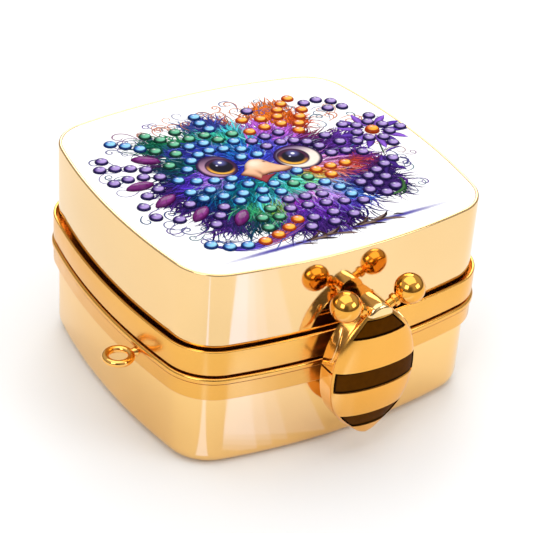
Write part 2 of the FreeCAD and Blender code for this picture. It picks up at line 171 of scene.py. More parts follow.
def addStudio():
    # floor, world, lights and glows, in plain screen tones
    addFloor()
    addWorld()
    for light in studio["lights"]:
        addLight(*light)
    addGlow("cornerGlow", cornerGlow)
    addGlow("cornerLine", cornerLine)
    bpy.context.scene.view_settings.view_transform = "Standard"


addCamera()
addStudio()
print("camera and studio ready")


def closeMesh(mesh, weldBelow=1e-7):
    # welds doubled points at seams and poles, then turns every face outwards
    bm = bmesh.new()
    bm.from_mesh(mesh)
    bmesh.ops.remove_doubles(bm, verts=bm.verts, dist=weldBelow)
    bmesh.ops.dissolve_degenerate(bm, edges=bm.edges, dist=weldBelow)
    bmesh.ops.recalc_face_normals(bm, faces=bm.faces)
    bm.to_mesh(mesh)
    bm.free()


def gridFaces(rows, columns, wrapRows=False, wrapColumns=False, first=0):
    # one quad between each grid point and its neighbours along both parameters
    r = np.arange(rows if wrapRows else rows - 1)
    c = np.arange(columns if wrapColumns else columns - 1)
    r, c = np.meshgrid(r, c, indexing="ij")
    r2, c2 = (r + 1) % rows, (c + 1) % columns
    quads = np.stack([r * columns + c, r * columns + c2, r2 * columns + c2, r2 * columns + c], axis=-1)
    return quads.reshape(-1, 4) + first


def tint(mesh, colors):
    # one linear colour per point, kept between 0 and 1
    layer = mesh.color_attributes.new("paint", "FLOAT_COLOR", "POINT")
    rgba = np.ones((len(mesh.vertices), 4))
    rgba[:, :3] = np.clip(colors.reshape(-1, 3), 0, 1)
    layer.data.foreach_set("color", rgba.ravel())


def makePiece(name, points, faces, sharpAngle, colors=None, closing=True):
    # one mesh: painted if colours are given, closed, smooth, with edges above the sharp angle kept
    mesh = bpy.data.meshes.new(name)
    mesh.from_pydata(np.reshape(points, (-1, 3)).tolist(), [], faces)
    mesh.update()
    if colors is not None:
        tint(mesh, colors)
    if closing:
        closeMesh(mesh)
    mesh.shade_smooth()
    if sharpAngle:
        mesh.set_sharp_from_angle(angle=math.radians(sharpAngle))
    piece = bpy.data.objects.new(name, mesh)
    bpy.context.collection.objects.link(piece)
    return piece


def gridPiece(name, points, sharpAngle, wrapRows=False, wrapColumns=False, colors=None):
    # rows by columns of points joined by quads into one closed piece
    faces = gridFaces(*points.shape[:2], wrapRows, wrapColumns).tolist()
    return makePiece(name, points, faces, sharpAngle, colors)


def place(piece, body, slotName, material, *replaced):
    # gives a piece its finish, the body it rides on and the nodes it stands for
    piece.data.materials.append(material)
    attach(piece, body)
    if replaced:
        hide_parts(*replaced)
    return piece


plan = dict(halfWidth=31.0 * mm, halfDepth=29.5 * mm, sideRadius=115 * mm, cornerRadius=8.3 * mm,
            sideSteps=22, cornerSteps=14, roundSteps=6)


def planOutline():
    # four bowed side arcs and four corner arcs, tangent to each other, as points and outward normals
    a, b, big, small = (plan[k] for k in ("halfWidth", "halfDepth", "sideRadius", "cornerRadius"))
    gapX, gapY = a - big, b - big
    gap = math.hypot(gapX, gapY)
    rise = math.sqrt((big - small) ** 2 - (gap / 2) ** 2)
    cornerX, cornerY = gapX / 2 - gapY / gap * rise, gapY / 2 - gapX / gap * rise
    turnA = math.atan2(cornerY, cornerX - gapX)
    turnB = math.atan2(cornerY - gapY, cornerX)
    quarter = []
    for centre, radius, start, end, steps in (
            ((gapX, 0), big, 0, turnA, plan["sideSteps"]),
            ((cornerX, cornerY), small, turnA, turnB, plan["cornerSteps"]),
            ((0, gapY), big, turnB, math.pi / 2, plan["sideSteps"])):
        angle = np.linspace(start, end, steps, endpoint=False)
        normal = np.stack([np.cos(angle), np.sin(angle)], axis=-1)
        quarter.append((np.array(centre) + radius * normal, normal))
    spots = np.concatenate([q[0] for q in quarter])
    normals = np.concatenate([q[1] for q in quarter])
    flip = np.array([-1.0, 1.0])
    topSpot, topNormal = np.array([[0.0, b]]), np.array([[0.0, 1.0]])
    leftSpots = np.concatenate([topSpot, spots[:0:-1] * flip])
    leftNormals = np.concatenate([topNormal, normals[:0:-1] * flip])
    halfSpots = np.concatenate([spots, leftSpots])
    halfNormals = np.concatenate([normals, leftNormals])
    return (np.concatenate([halfSpots, -halfSpots]), np.concatenate([halfNormals, -halfNormals]))


outlineSpots, outlineNormals = planOutline()


def roundedProfile(corners):
    # corners are (reach, height, rounding radius, shrink); each rounding is an arc tangent to its two edges
    reach = []
    for k, (x, z, radius, shrink) in enumerate(corners):
        here = np.array([x, z])
        if radius <= 0 or k in (0, len(corners) - 1):
            reach.append([x, z, shrink])
            continue
        before = np.array(corners[k - 1][:2]) - here
        after = np.array(corners[k + 1][:2]) - here
        before, after = before / np.linalg.norm(before), after / np.linalg.norm(after)
        half = math.acos(np.clip(before @ after, -1, 1)) / 2
        centre = here + (before + after) / np.linalg.norm(before + after) * radius / math.sin(half)
        first, last = here + before * radius / math.tan(half), here + after * radius / math.tan(half)
        a0, a1 = math.atan2(*(first - centre)[::-1]), math.atan2(*(last - centre)[::-1])
        a1 = a0 + (a1 - a0 + math.pi) % (2 * math.pi) - math.pi
        for angle in np.linspace(a0, a1, plan["roundSteps"]):
            reach.append([centre[0] + radius * math.cos(angle), centre[1] + radius * math.sin(angle), shrink])
    return np.array(reach)


def sweepOutline(name, corners, closed, sharpAngle=32.0):
    # point = (outline point + reach * its normal) * shrink, at the profile's height
    profile = roundedProfile([(x * mm, z * mm, r * mm, s) for x, z, r, s in corners])
    flat = outlineSpots[None] + profile[:, 0, None, None] * outlineNormals[None]
    flat = flat * profile[:, 2, None, None]
    height = np.broadcast_to(profile[:, 1, None, None], flat.shape[:2] + (1,))
    points = np.concatenate([flat, height], axis=-1)
    return gridPiece(name, points, sharpAngle, wrapRows=closed, wrapColumns=True)


baseShell = dict(wall=0.9, floor=1.0, rim=18.0, edgeRound=2.5)
lidShell = dict(wall=0.7, rim=19.8, top=37.85, rimWidth=0.55, plate=1.0, under=36.0, gap=0.02)
frames = dict(proud=0.95, bead=0.3, beadHeight=1.1, lowBottom=14.3, lowTop=18.7, highBottom=19.1,
              highTop=23.85, lip=0.7, groove=0.45, grooveDepth=2.3)
tray = dict(outer=-1.8, wall=1.0, bottom=1.0, floor=2.0, top=17.6, lipRound=0.35)
lining = dict(edge=-1.1, depth=0.95, pad=0.04)
seatingLip = dict(thickness=0.6, bottom=14.5, top=20.2)


def makeBaseShell():
    # open tub: outside up from the floor to the rim, then down inside by the wall thickness
    w, f, rim, e = (baseShell[k] for k in ("wall", "floor", "rim", "edgeRound"))
    corners = [(0, 0, 0, 0), (0, 0, 0, 0.4), (-e, 0, 0, 0.95), (0, 0, e, 1), (0, rim, 0.15, 1),
               (-w, rim, 0.15, 1), (-w, f, e - w, 1), (-e, f, 0, 0.95), (-w, f, 0, 0.4), (-w, f, 0, 0)]
    return sweepOutline("baseShellGilt", corners, closed=False)


def makeLidShell():
    # upturned tub with a seat for the plate, sunk by the plate thickness inside a narrow rim
    words = ("wall", "rim", "top", "rimWidth", "plate", "under")
    w, rim, top, edge, plate, under = (lidShell[k] for k in words)
    seat = top - plate
    corners = [(-2, seat, 0, 0), (-2, seat, 0, 0.5), (-edge, seat, 0, 1), (-edge, top, 0.12, 1),
               (0, top, 0.3, 1), (0, rim, 0.15, 1), (-w, rim, 0.15, 1), (-w, under, 0.3, 1),
               (-2, under, 0, 0.5), (-2, under, 0, 0)]
    return sweepOutline("lidShellGilt", corners, closed=False)


def makeBaseFrame():
    # band that stands proud of the wall, with a bead along its top
    p, bead, bottom, top = (frames[k] for k in ("proud", "bead", "lowBottom", "lowTop"))
    inner, lipUnder, ledge = -baseShell["wall"], top - frames["lip"], top - frames["beadHeight"]
    corners = [(0, bottom, 0, 1), (p, bottom, 0.3, 1), (p, ledge, 0.2, 1), (p + bead, ledge, 0.3, 1),
               (p + bead, top, 0.45, 1), (inner, top, 0.15, 1), (inner, lipUnder, 0, 1), (0, lipUnder, 0, 1)]
    return sweepOutline("baseFrameGilt", corners, closed=True)


def makeLidFrame():
    # band that stands proud of the wall, with a groove behind its upper edge
    p, bottom, top, groove = (frames[k] for k in ("proud", "highBottom", "highTop", "groove"))
    inner, lipTop = -lidShell["wall"], bottom + frames["lip"]
    grooveFloor = top - frames["grooveDepth"]
    corners = [(0, grooveFloor, 0, 1), (0, lipTop, 0, 1), (inner, lipTop, 0, 1), (inner, bottom, 0.15, 1),
               (p, bottom, 0.35, 1), (p, top, 0.2, 1), (groove, top, 0.15, 1), (groove, grooveFloor, 0, 1)]
    return sweepOutline("lidFrameGilt", corners, closed=True)


def makePlate():
    # flat sheet that fills the seat inside the rim
    top, gap = lidShell["top"], lidShell["gap"]
    edge, low, face = -lidShell["rimWidth"] - gap, top - lidShell["plate"], top - gap
    corners = [(-2, low, 0, 0), (-2, low, 0, 0.5), (edge, low, 0, 1), (edge, face, 0.15, 1), (-3, face, 0, 1),
               (-3, face, 0, 0.5), (-3, face, 0, 0)]
    return sweepOutline("whitePlate", corners, closed=False)


def makeTray():
    # tub inside the base: outside up to a rounded lip, then down by the wall thickness to its floor
    o, w, bottom, floor, top, r = (tray[k] for k in ("outer", "wall", "bottom", "floor", "top", "lipRound"))
    corners = [(-4, bottom, 0, 0), (-4, bottom, 0, 0.5), (o, bottom, 2.0, 1), (o, top, r, 1),
               (o - w, top, r, 1), (o - w, floor, 1.2, 1), (-5, floor, 0, 0.5), (-5, floor, 0, 0)]
    return sweepOutline("mouldedTray", corners, closed=False)


def makeLining():
    # thin pad under the lid, thicker in the middle by the pad height
    low, high, edge = lidShell["under"] - lining["depth"], lidShell["under"] - lidShell["gap"], lining["edge"]
    corners = [(-4, high, 0, 0), (-4, high, 0, 0.5), (edge, high, 0.1, 1), (edge, low, 0.45, 1),
               (-4, low + lining["pad"], 0, 1), (-5, low, 0, 0.5), (-5, low, 0, 0)]
    return sweepOutline("feltLining", corners, closed=False)


def makeSeatingLip():
    # upright band inside the base that the lid drops over
    outer, low, high = -baseShell["wall"], seatingLip["bottom"], seatingLip["top"]
    inner = outer - seatingLip["thickness"]
    corners = [(outer, low, 0, 1), (outer, high, 0.25, 1), (inner, high, 0.2, 1), (inner, low, 0, 1)]
    return sweepOutline("innerLip", corners, closed=True)


def newMaterial(name):
    # a fresh material with its node tree, its shader and its coordinates
    material = bpy.data.materials.new(name)
    material.use_nodes = True
    tree = material.node_tree
    return material, tree, tree.nodes["Principled BSDF"], tree.nodes.new("ShaderNodeTexCoord")


def noise(tree, coords, scale, detail=3.0, stretch=(1, 1, 1)):
    # cloudy value in object space: cell size = 1 / scale, stretched along the axes
    mapping = tree.nodes.new("ShaderNodeMapping")
    mapping.inputs["Scale"].default_value = stretch
    texture = tree.nodes.new("ShaderNodeTexNoise")
    texture.inputs["Scale"].default_value = scale
    texture.inputs["Detail"].default_value = detail
    tree.links.new(coords.outputs["Object"], mapping.inputs["Vector"])
    tree.links.new(mapping.outputs["Vector"], texture.inputs["Vector"])
    return texture


def toneBetween(tree, shader, texture, dark, light):
    # base colour = dark below 0.3 of the texture, light above 0.7, a straight blend between
    node = tree.nodes.new("ShaderNodeValToRGB")
    for element, position, color in zip(node.color_ramp.elements, (0.3, 0.7), (dark, light)):
        element.position = position
        element.color = (*color, 1)
    tree.links.new(texture.outputs["Fac"], node.inputs["Fac"])
    tree.links.new(node.outputs["Color"], shader.inputs["Base Color"])


def spread(tree, texture, low, high):
    # value = low below 0.3 of the texture, high above 0.7, a straight blend between
    node = mapRange(tree, (0.3, 0.7), (low, high))
    tree.links.new(texture.outputs["Fac"], node.inputs["Value"])
    return node


def bump(tree, shader, texture, strength, distance):
    # relief = strength * texture, at most one distance high
    node = tree.nodes.new("ShaderNodeBump")
    node.inputs["Strength"].default_value = strength
    node.inputs["Distance"].default_value = distance
    tree.links.new(texture.outputs["Fac"], node.inputs["Height"])
    tree.links.new(node.outputs["Normal"], shader.inputs["Normal"])


gilts = dict(   # light tone, dark tone, smoothest and roughest
    peach=((0.875, 0.605, 0.295), (0.855, 0.575, 0.265), 0.06, 0.09),
    peachDeep=((0.93, 0.60, 0.235), (0.90, 0.56, 0.205), 0.09, 0.14),
    deep=((0.87, 0.455, 0.10), (0.80, 0.40, 0.075), 0.17, 0.27),
    bright=((0.95, 0.53, 0.145), (0.90, 0.45, 0.10), 0.04, 0.08),
    ball=((0.88, 0.42, 0.07), (0.82, 0.36, 0.05), 0.08, 0.14),
    # pale is a lighter copy of the bee's gold, a painted highlight for the head, wings and clasps
    pale=((0.98, 0.68, 0.32), (0.95, 0.60, 0.24), 0.07, 0.13),
    satin=((0.88, 0.445, 0.09), (0.82, 0.38, 0.065), 0.16, 0.24))
plateWhite = dict(grain=1500, dark=(0.955, 0.955, 0.96), light=(0.985, 0.985, 0.985), roughness=0.42,
                  relief=0.05)
trayPlastic = dict(grain=2200, dark=(0.80, 0.77, 0.71), light=(0.88, 0.85, 0.80), roughness=(0.38, 0.5),
                   depth=0.08, radius=(0.002, 0.0016, 0.0012), relief=0.12)
liningFelt = dict(fibres=5200, mottle=380, dark=(0.60, 0.50, 0.37), light=(0.74, 0.64, 0.50), roughness=0.95,
                  sheen=0.5, sheenRoughness=0.4, relief=0.7)


def gilt(name, light, dark, roughLow, roughHigh):
    # polished plating: slow drifts of tone, cloudy roughness and faint polishing lines
    material, tree, shader, coords = newMaterial(name)
    toneBetween(tree, shader, noise(tree, coords, 45, 2.0), dark, light)
    rough = spread(tree, noise(tree, coords, 320, 4.0), roughLow, roughHigh)
    tree.links.new(rough.outputs["Result"], shader.inputs["Roughness"])
    bump(tree, shader, noise(tree, coords, 900, 2.0, (0.15, 0.15, 2.0)), 0.04, 0.02 * mm)
    shader.inputs["Metallic"].default_value = 1.0
    return material


def makePlateFinish():
    # fine grain between two whites, which also lifts the surface
    look = plateWhite
    material, tree, shader, coords = newMaterial("plateWhite")
    grain = noise(tree, coords, look["grain"], 3.0)
    toneBetween(tree, shader, grain, look["dark"], look["light"])
    shader.inputs["Roughness"].default_value = look["roughness"]
    bump(tree, shader, grain, look["relief"], 0.02 * mm)
    return material


def makeTrayFinish():
    # fine grain in tone and roughness, with a little light let into the plastic
    look = trayPlastic
    material, tree, shader, coords = newMaterial("trayPlastic")
    grain = noise(tree, coords, look["grain"], 3.0)
    toneBetween(tree, shader, grain, look["dark"], look["light"])
    rough = spread(tree, grain, *look["roughness"])
    tree.links.new(rough.outputs["Result"], shader.inputs["Roughness"])
    shader.inputs["Subsurface Weight"].default_value = look["depth"]
    shader.inputs["Subsurface Radius"].default_value = look["radius"]
    bump(tree, shader, grain, look["relief"], 0.03 * mm)
    return material


def makeFeltFinish():
    # mottled tone under fine fibres that stand up as relief
    look = liningFelt
    material, tree, shader, coords = newMaterial("liningFelt")
    fibres = noise(tree, coords, look["fibres"], 6.0)
    toneBetween(tree, shader, noise(tree, coords, look["mottle"], 3.0), look["dark"], look["light"])
    shader.inputs["Roughness"].default_value = look["roughness"]
    shader.inputs["Sheen Weight"].default_value = look["sheen"]
    shader.inputs["Sheen Roughness"].default_value = look["sheenRoughness"]
    bump(tree, shader, fibres, look["relief"], 0.12 * mm)
    return material


def paintMaterial(name, roughness, shine, grainScale, grainDepth, contrast):
    # colour painted on the mesh, with a fine drift of tone and a little surface relief
    material, tree, shader, coords = newMaterial(name)
    paint = tree.nodes.new("ShaderNodeAttribute")
    paint.attribute_name = "paint"
    grain = noise(tree, coords, grainScale, 3.0)
    level = spread(tree, grain, 1 - contrast, 1 + contrast)
    blend = tree.nodes.new("ShaderNodeVectorMath")
    blend.operation = "SCALE"
    tree.links.new(paint.outputs["Color"], blend.inputs[0])
    tree.links.new(level.outputs["Result"], blend.inputs["Scale"])
    tree.links.new(blend.outputs["Vector"], shader.inputs["Base Color"])
    shader.inputs["Roughness"].default_value = roughness
    shader.inputs["Specular IOR Level"].default_value = shine
    bump(tree, shader, grain, grainDepth, 0.02 * mm)
    return material


finishes = {word: gilt(word + "Gilt", *look) for word, look in gilts.items()}
finishes["plate"], finishes["tray"], finishes["felt"] = makePlateFinish(), makeTrayFinish(), makeFeltFinish()
print("finishes mixed")

place(makeBaseShell(), "base", "peach_gold", finishes["peachDeep"], "base_shell")
place(makeBaseFrame(), "base", "deep_gold", finishes["deep"], "base_frame")
place(makeTray(), "base", "tray_plastic", finishes["tray"], "pill_tray")
place(makeLidShell(), "lid", "peach_gold", finishes["peach"], "lid_shell")
place(makeLidFrame(), "lid", "deep_gold", finishes["deep"], "lid_frame")
place(makePlate(), "lid", "white_plate", finishes["plate"], "picture_plate")
feltLining = place(makeLining(), "lid", "lining_felt", finishes["felt"], "lid_lining")
print("shells, frames, plate, tray and lining made")


def linear(color):
    # picks written as 0..255 screen values become linear light
    value = np.asarray(color, dtype=float) / 255
    return np.where(value <= 0.04045, value / 12.92, ((value + 0.055) / 1.055) ** 2.4)


def smoothStep(low, high, value):
    # 0 below low, 1 above high, three t squared minus two t cubed between
    t = np.clip((value - low) / (high - low), 0, 1)
    return t * t * (3 - 2 * t)


def mix(a, b, t):
    # a * (1 - t) + b * t
    t = np.asarray(t)[..., None]
    return np.asarray(a) * (1 - t) + np.asarray(b) * t


inkFinish = paintMaterial("printedInk", 0.6, 0.02, 2600, 0.1, 0.10)
resinFinish = paintMaterial("castResin", 0.14, 0.16, 1400, 0.03, 0.05)
finishes["enamel"] = paintMaterial("brownEnamel", 0.32, 0.01, 900, 0.05, 0.12)
eyeFinish = paintMaterial("domedInk", 0.5, 0.03, 2000, 0.02, 0.04)

picture = dict(face=37.83 * mm, sink=0.03 * mm, seed=7, bodyCentre=(-1.6, -2.4), bodyRadius=19.2,
               crest=0.012 * mm)

# colour zones of the plumage: x, y, red, green, blue
zones = np.array([
    (-15, 15, 20, 105, 85), (-9, 15, 40, 135, 90), (-7, 18, 50, 80, 150), (-2, 16, 62, 80, 165),
    (-3, 11, 60, 185, 150), (1, 11, 80, 205, 215), (4, 17, 190, 110, 60), (5, 12, 190, 105, 220),
    (10, 15, 240, 125, 40), (15, 11, 215, 90, 30), (13, 7.5, 150, 55, 50), (8, 8.5, 200, 115, 230),
    (3, 6, 100, 95, 220), (0, 6.5, 45, 130, 215), (-5, 9.5, 60, 80, 195), (-10, 9, 60, 60, 165),
    (-13, 6, 20, 100, 100), (-16, 4, 20, 60, 90), (-18, 8, 80, 20, 90), (-20, 0, 45, 28, 95),
    (-14, 0, 95, 60, 205), (-11, -1.5, 155, 110, 230), (-12, -3.2, 10, 110, 150), (-8, -4, 20, 135, 165),
    (-15, -7, 22, 50, 110), (-8, -7, 15, 110, 130), (-5, -6, 30, 150, 150), (-1, -5.2, 60, 190, 210),
    (1, -6.5, 70, 220, 180), (4, -6.4, 125, 220, 115), (0, -8.6, 90, 220, 195), (3.5, -10.5, 225, 150, 240),
    (-2, -11, 185, 60, 215), (-5, -9, 70, 190, 215), (-5, -12, 140, 185, 60), (-3, -14.5, 120, 50, 190),
    (-8.5, -12, 60, 160, 110), (-11, -15, 20, 70, 90), (1, -13.5, 150, 80, 220), (5, -12.5, 190, 150, 240),
    (6, -10.2, 125, 170, 230), (8, -13.5, 60, 120, 220), (5, -16, 90, 50, 170), (0, -17, 105, 50, 175),
    (-3, -20, 60, 30, 110), (3, -21, 50, 25, 100), (10, -9, 70, 50, 150), (12, -12, 42, 28, 88),
    (17, -11, 50, 35, 100), (14, -16, 45, 30, 95), (9, -17.5, 70, 50, 140), (6, -4.8, 230, 140, 60),
    (9, -5.6, 235, 115, 35), (13, -5, 200, 75, 40), (15.5, -6.5, 120, 40, 90), (10, -3.4, 225, 150, 220),
    (13, -1, 80, 40, 130), (15, 2.5, 110, 60, 170), (13, 5, 110, 50, 120), (17.5, -2, 100, 60, 160),
    (11, 3.5, 60, 30, 95), (-21, -5, 60, 30, 100), (-17, -11, 60, 30, 110), (-5.5, 0.5, 50, 60, 190),
    (0.5, 2.5, 70, 80, 210), (2.5, -1, 120, 90, 220)], dtype=float)

def zoneColor(spots, softness=1.5):
    # nearest zones blended by a bell-shaped weight of their distance
    offset = spots[..., None, :] - zones[:, :2]
    distance = (offset ** 2).sum(-1)
    weight = np.exp(-(distance - distance.min(-1, keepdims=True)) / (2 * softness ** 2))
    weight = weight / weight.sum(-1, keepdims=True)
    return (weight @ linear(zones[:, 2:])) ** 1.12   # slightly deeper than the picks


def sliverMesh(name, paths, widths, level, lift, colors):
    # each stroke is a closed three-sided sliver on its path: left edge, crest and right edge,
    # edge = path +- half width * normal, crest = path raised by the lift
    count, sections = paths.shape[:2]
    along = np.gradient(paths, axis=1)
    along = along / np.maximum(np.linalg.norm(along, axis=-1, keepdims=True), 1e-9)
    side = np.stack([-along[..., 1], along[..., 0]], axis=-1) * widths[..., None] / 2
    base = np.broadcast_to(np.asarray(level).reshape(-1, 1, 1), (count, sections, 1))
    taper = (widths / widths.max(axis=1, keepdims=True))[..., None]
    left = np.concatenate([(paths + side) * mm, base - picture["sink"] * 0.1], axis=-1)
    right = np.concatenate([(paths - side) * mm, base - picture["sink"] * 0.1], axis=-1)
    crest = np.concatenate([paths * mm, base + lift * taper], axis=-1)
    points = np.stack([left, crest, right], axis=2)
    one = gridFaces(sections, 3, wrapColumns=True)
    first = np.arange(count) * sections * 3
    last = first + (sections - 1) * 3
    faces = (one[None] + first[:, None, None]).reshape(-1, 4).tolist()
    faces += np.stack([first, first + 2, first + 1], axis=-1).tolist()
    faces += np.stack([last, last + 1, last + 2], axis=-1).tolist()
    return makePiece(name, points, faces, 0, np.repeat(colors[:, :, None, :], 3, axis=2), closing=False)


def curvedPaths(roots, heading, length, bend, sections, tighten=1.0):
    # each path turns by its bend along its length: heading(s) = heading + bend * s ** tighten
    s = np.linspace(0, 1, sections)
    angle = heading[:, None] + bend[:, None] * s[None] ** tighten
    step = np.stack([np.cos(angle), np.sin(angle)], axis=-1) * (length / (sections - 1))[:, None, None]
    travelled = np.cumsum(step, axis=1) - step[:, :1]
    return roots[:, None] + travelled


def strokeShape(s, root, fade):
    # share of the full width along a stroke: wide soon after the root, then thinning to a fine tip
    return np.clip(s * 5 + root, 0, 1) * (1 - s) ** fade + 0.03


underpaint = dict(rings=40, spokes=180, size=0.93, lobes=9, lobeDepth=0.035, ragged=0.02, dark=0.55,
                  lift=0.004 * mm)


def makeUnderpaint(draw):
    # polar sheet: spot = centre + ragged radius * fraction; a raised top over a sunk back
    u = underpaint
    fraction = np.concatenate([np.linspace(0, 1, u["rings"]), [1.0, 0.5, 0.0]])
    turn = np.linspace(0, 2 * math.pi, u["spokes"], endpoint=False)
    lobed = u["size"] + u["lobeDepth"] * np.sin(u["lobes"] * turn + 1)
    ragged = picture["bodyRadius"] * (lobed + u["ragged"] * draw.standard_normal(u["spokes"]))
    radius = fraction[:, None] * ragged[None]
    spots = np.stack([np.cos(turn) * radius, np.sin(turn) * radius], axis=-1) + picture["bodyCentre"]
    height = np.full(radius.shape, picture["face"] + u["lift"])
    height[-3:] = picture["face"] - picture["sink"]
    points = np.concatenate([spots * mm, height[..., None]], axis=-1)
    return gridPiece("plumageGround", points, 0, wrapColumns=True, colors=zoneColor(spots) * u["dark"])


fur = dict(count=3400, sections=7, partFrom=(-1.0, 1.0), lobes=8, lobeDepth=0.06, fan=0.28, length=(1.6, 4.2),
           bend=0.75, width=(0.22, 0.62), lift=0.004 * mm, pile=0.035 * mm, mottle=0.6, tone=(-0.16, 0.46),
           rootShade=0.62, tipShade=0.85, paleAbove=0.93, pale=(205, 235, 245), paleBlend=0.35)


def makeFur(draw):
    # short strokes sown over a lobed disc, combed away from the face, the inner ones laid over the outer ones
    f = fur
    count = f["count"]
    radius = picture["bodyRadius"] * np.sqrt(draw.uniform(0.01, 1, count))
    turn = draw.uniform(0, 2 * math.pi, count)
    radius = radius * (0.95 + f["lobeDepth"] * np.sin(f["lobes"] * turn + 1))
    order = np.argsort(-radius)
    radius, turn = radius[order], turn[order]
    roots = np.stack([np.cos(turn) * radius, np.sin(turn) * radius], axis=-1) + picture["bodyCentre"]
    combed = np.arctan2(roots[:, 1] - f["partFrom"][1], roots[:, 0] - f["partFrom"][0])
    heading = combed + draw.normal(0, f["fan"], count)
    length = draw.uniform(*f["length"], count) * (0.75 + 0.45 * radius / picture["bodyRadius"])
    paths = curvedPaths(roots, heading, length, draw.normal(0, f["bend"], count), f["sections"])
    s = np.linspace(0, 1, f["sections"])
    widths = draw.uniform(*f["width"], count)[:, None] * strokeShape(s, 0.35, 0.75)[None]
    level = picture["face"] + f["pile"] * (np.arange(count) / count) + f["lift"]
    tone = np.exp(draw.normal(*f["tone"], count))
    colors = zoneColor(roots + draw.normal(0, f["mottle"], roots.shape), 1.1) * tone[:, None]
    colors = colors[:, None] * (f["rootShade"] + f["tipShade"] * s)[None, :, None]
    pale = draw.uniform(0, 1, count) > f["paleAbove"]
    colors[pale] = mix(colors[pale], linear(f["pale"]), np.full(colors[pale].shape[:2], f["paleBlend"]))
    return sliverMesh("plumage", paths, widths, level, picture["crest"], colors)


tufts = dict(
    scatter=0.55, fan=0.42, lengths=(0.55, 1.25), bend=0.8, width=(0.22, 0.55), lift=0.004 * mm,
    pile=0.016 * mm, navy=(30, 24, 84), plum=(84, 40, 128),
    bundles=(   # x, y, spread in x and y, heading in degrees, count, length, darker
        (14.2, -12.4, 3.4, 3.4, -28, 360, 4.2, 1.0), (17.0, -8.0, 2.2, 2.6, -5, 160, 3.6, 1.0),
        (-18.5, -3.5, 2.0, 5.5, 188, 130, 3.6, 1.0), (-14.5, -13.0, 3.0, 2.4, 232, 190, 4.2, 1.0),
        (10.0, 15.5, 3.6, 2.4, 66, 240, 4.2, 0.0), (12.8, 10.8, 1.6, 2.2, 45, 110, 3.4, 0.0),
        (-13.0, 13.0, 3.4, 2.6, 130, 200, 3.8, 0.0), (-2.0, 16.0, 4.0, 1.8, 98, 180, 3.8, 0.2),
        (0.0, -19.5, 6.0, 1.6, 262, 260, 4.0, 1.0), (15.0, -4.5, 2.4, 1.4, -8, 140, 4.2, 0.0),
        (16.0, 2.5, 2.0, 3.0, 12, 140, 3.8, 0.6)))


def makeTufts(draw):
    # bundles of longer strokes that fan out past the body's edge; root = bundle + spread * a bell-shaped draw
    f = tufts
    count = np.array([bundle[5] for bundle in f["bundles"]])
    pick = np.repeat(np.arange(len(count)), count)
    data = np.array(f["bundles"], dtype=float)[pick]
    total = len(pick)
    roots = data[:, :2] + draw.normal(0, f["scatter"], (total, 2)) * data[:, 2:4]
    heading = np.radians(data[:, 4]) + draw.normal(0, f["fan"], total)
    length = data[:, 6] * draw.uniform(*f["lengths"], total)
    paths = curvedPaths(roots, heading, length, draw.normal(0, f["bend"], total), fur["sections"])
    s = np.linspace(0, 1, fur["sections"])
    widths = draw.uniform(*f["width"], total)[:, None] * strokeShape(s, 0.3, 0.8)[None]
    ink = mix(linear(f["navy"]), linear(f["plum"]), draw.uniform(0, 1, total))
    colors = mix(zoneColor(roots, 1.2), ink, data[:, 7] * draw.uniform(0.35, 1.0, total))
    colors = colors * np.exp(draw.normal(-0.05, 0.35, total))[:, None]
    colors = colors[:, None] * (0.7 + 0.6 * s)[None, :, None]
    level = picture["face"] + f["lift"] + f["pile"] * draw.uniform(0, 1, total)
    return sliverMesh("plumageTufts", paths, widths, level, picture["crest"], colors)


tail = dict(count=190, sections=14, tip=(-22.0, -17.4), bow=(-17.0, -25.6), root=(-2.6, -17.0), spread=0.95,
            width=(0.12, 0.34), lift=0.02 * mm, pile=0.02 * mm, navy=(38, 44, 120), violet=(96, 70, 190),
            warm=(205, 90, 30), warmAbove=0.6)


def makeTail(draw):
    # strokes along one bowed curve, spine(t) = quadratic through tip, bow and root, spread to its sides by t
    f = tail
    start = draw.uniform(0, 0.75, f["count"])
    s = np.linspace(0, 1, f["sections"])
    t = start[:, None] + s[None] * draw.uniform(0.2, 0.42, f["count"])[:, None]
    a, b, c = (np.array(f[k]) for k in ("tip", "bow", "root"))
    t3 = t[..., None]
    spine = a * (1 - t3) ** 2 + b * 2 * t3 * (1 - t3) + c * t3 ** 2
    way = 2 * (1 - t3) * (b - a) + 2 * t3 * (c - b)
    way = way / np.linalg.norm(way, axis=-1, keepdims=True)
    normal = np.stack([-way[..., 1], way[..., 0]], axis=-1)
    offset = draw.normal(-0.35, 1.0, f["count"])[:, None] * (0.05 + f["spread"] * t ** 1.2)
    paths = spine + normal * offset[..., None]
    widths = draw.uniform(*f["width"], f["count"])[:, None] * strokeShape(s, 0.2, 0.6)[None]
    share = draw.uniform(0, 1, (f["count"], 1)) * np.ones_like(t)
    colors = mix(linear(f["navy"]), linear(f["violet"]), share)
    chosen = draw.uniform(0, 1, (f["count"], 1)) > f["warmAbove"]
    warmth = smoothStep(0.5, 0.72, t) * (1 - smoothStep(0.86, 1.0, t)) * chosen
    colors = mix(colors, linear(f["warm"]), warmth * 0.8)
    colors = colors * np.exp(draw.normal(0, 0.4, f["count"]))[:, None, None]
    level = picture["face"] + f["lift"] + f["pile"] * np.arange(f["count"]) / f["count"]
    return sliverMesh("tailPlume", paths, widths, level, picture["crest"], colors)


curls = dict(count=104, sections=48, reach=(0.98, 1.22), shift=(0.6, 1.0), fan=0.5, bend=(5.0, 8.0),
             length=(5.0, 9.0), width=(0.16, 0.28), lift=0.022 * mm, pile=0.004 * mm, teal=(24, 100, 116),
             violet=(104, 58, 160), warm=(215, 120, 60), pale=(235, 240, 245), edge=(21.2, 19.5, 7.0))


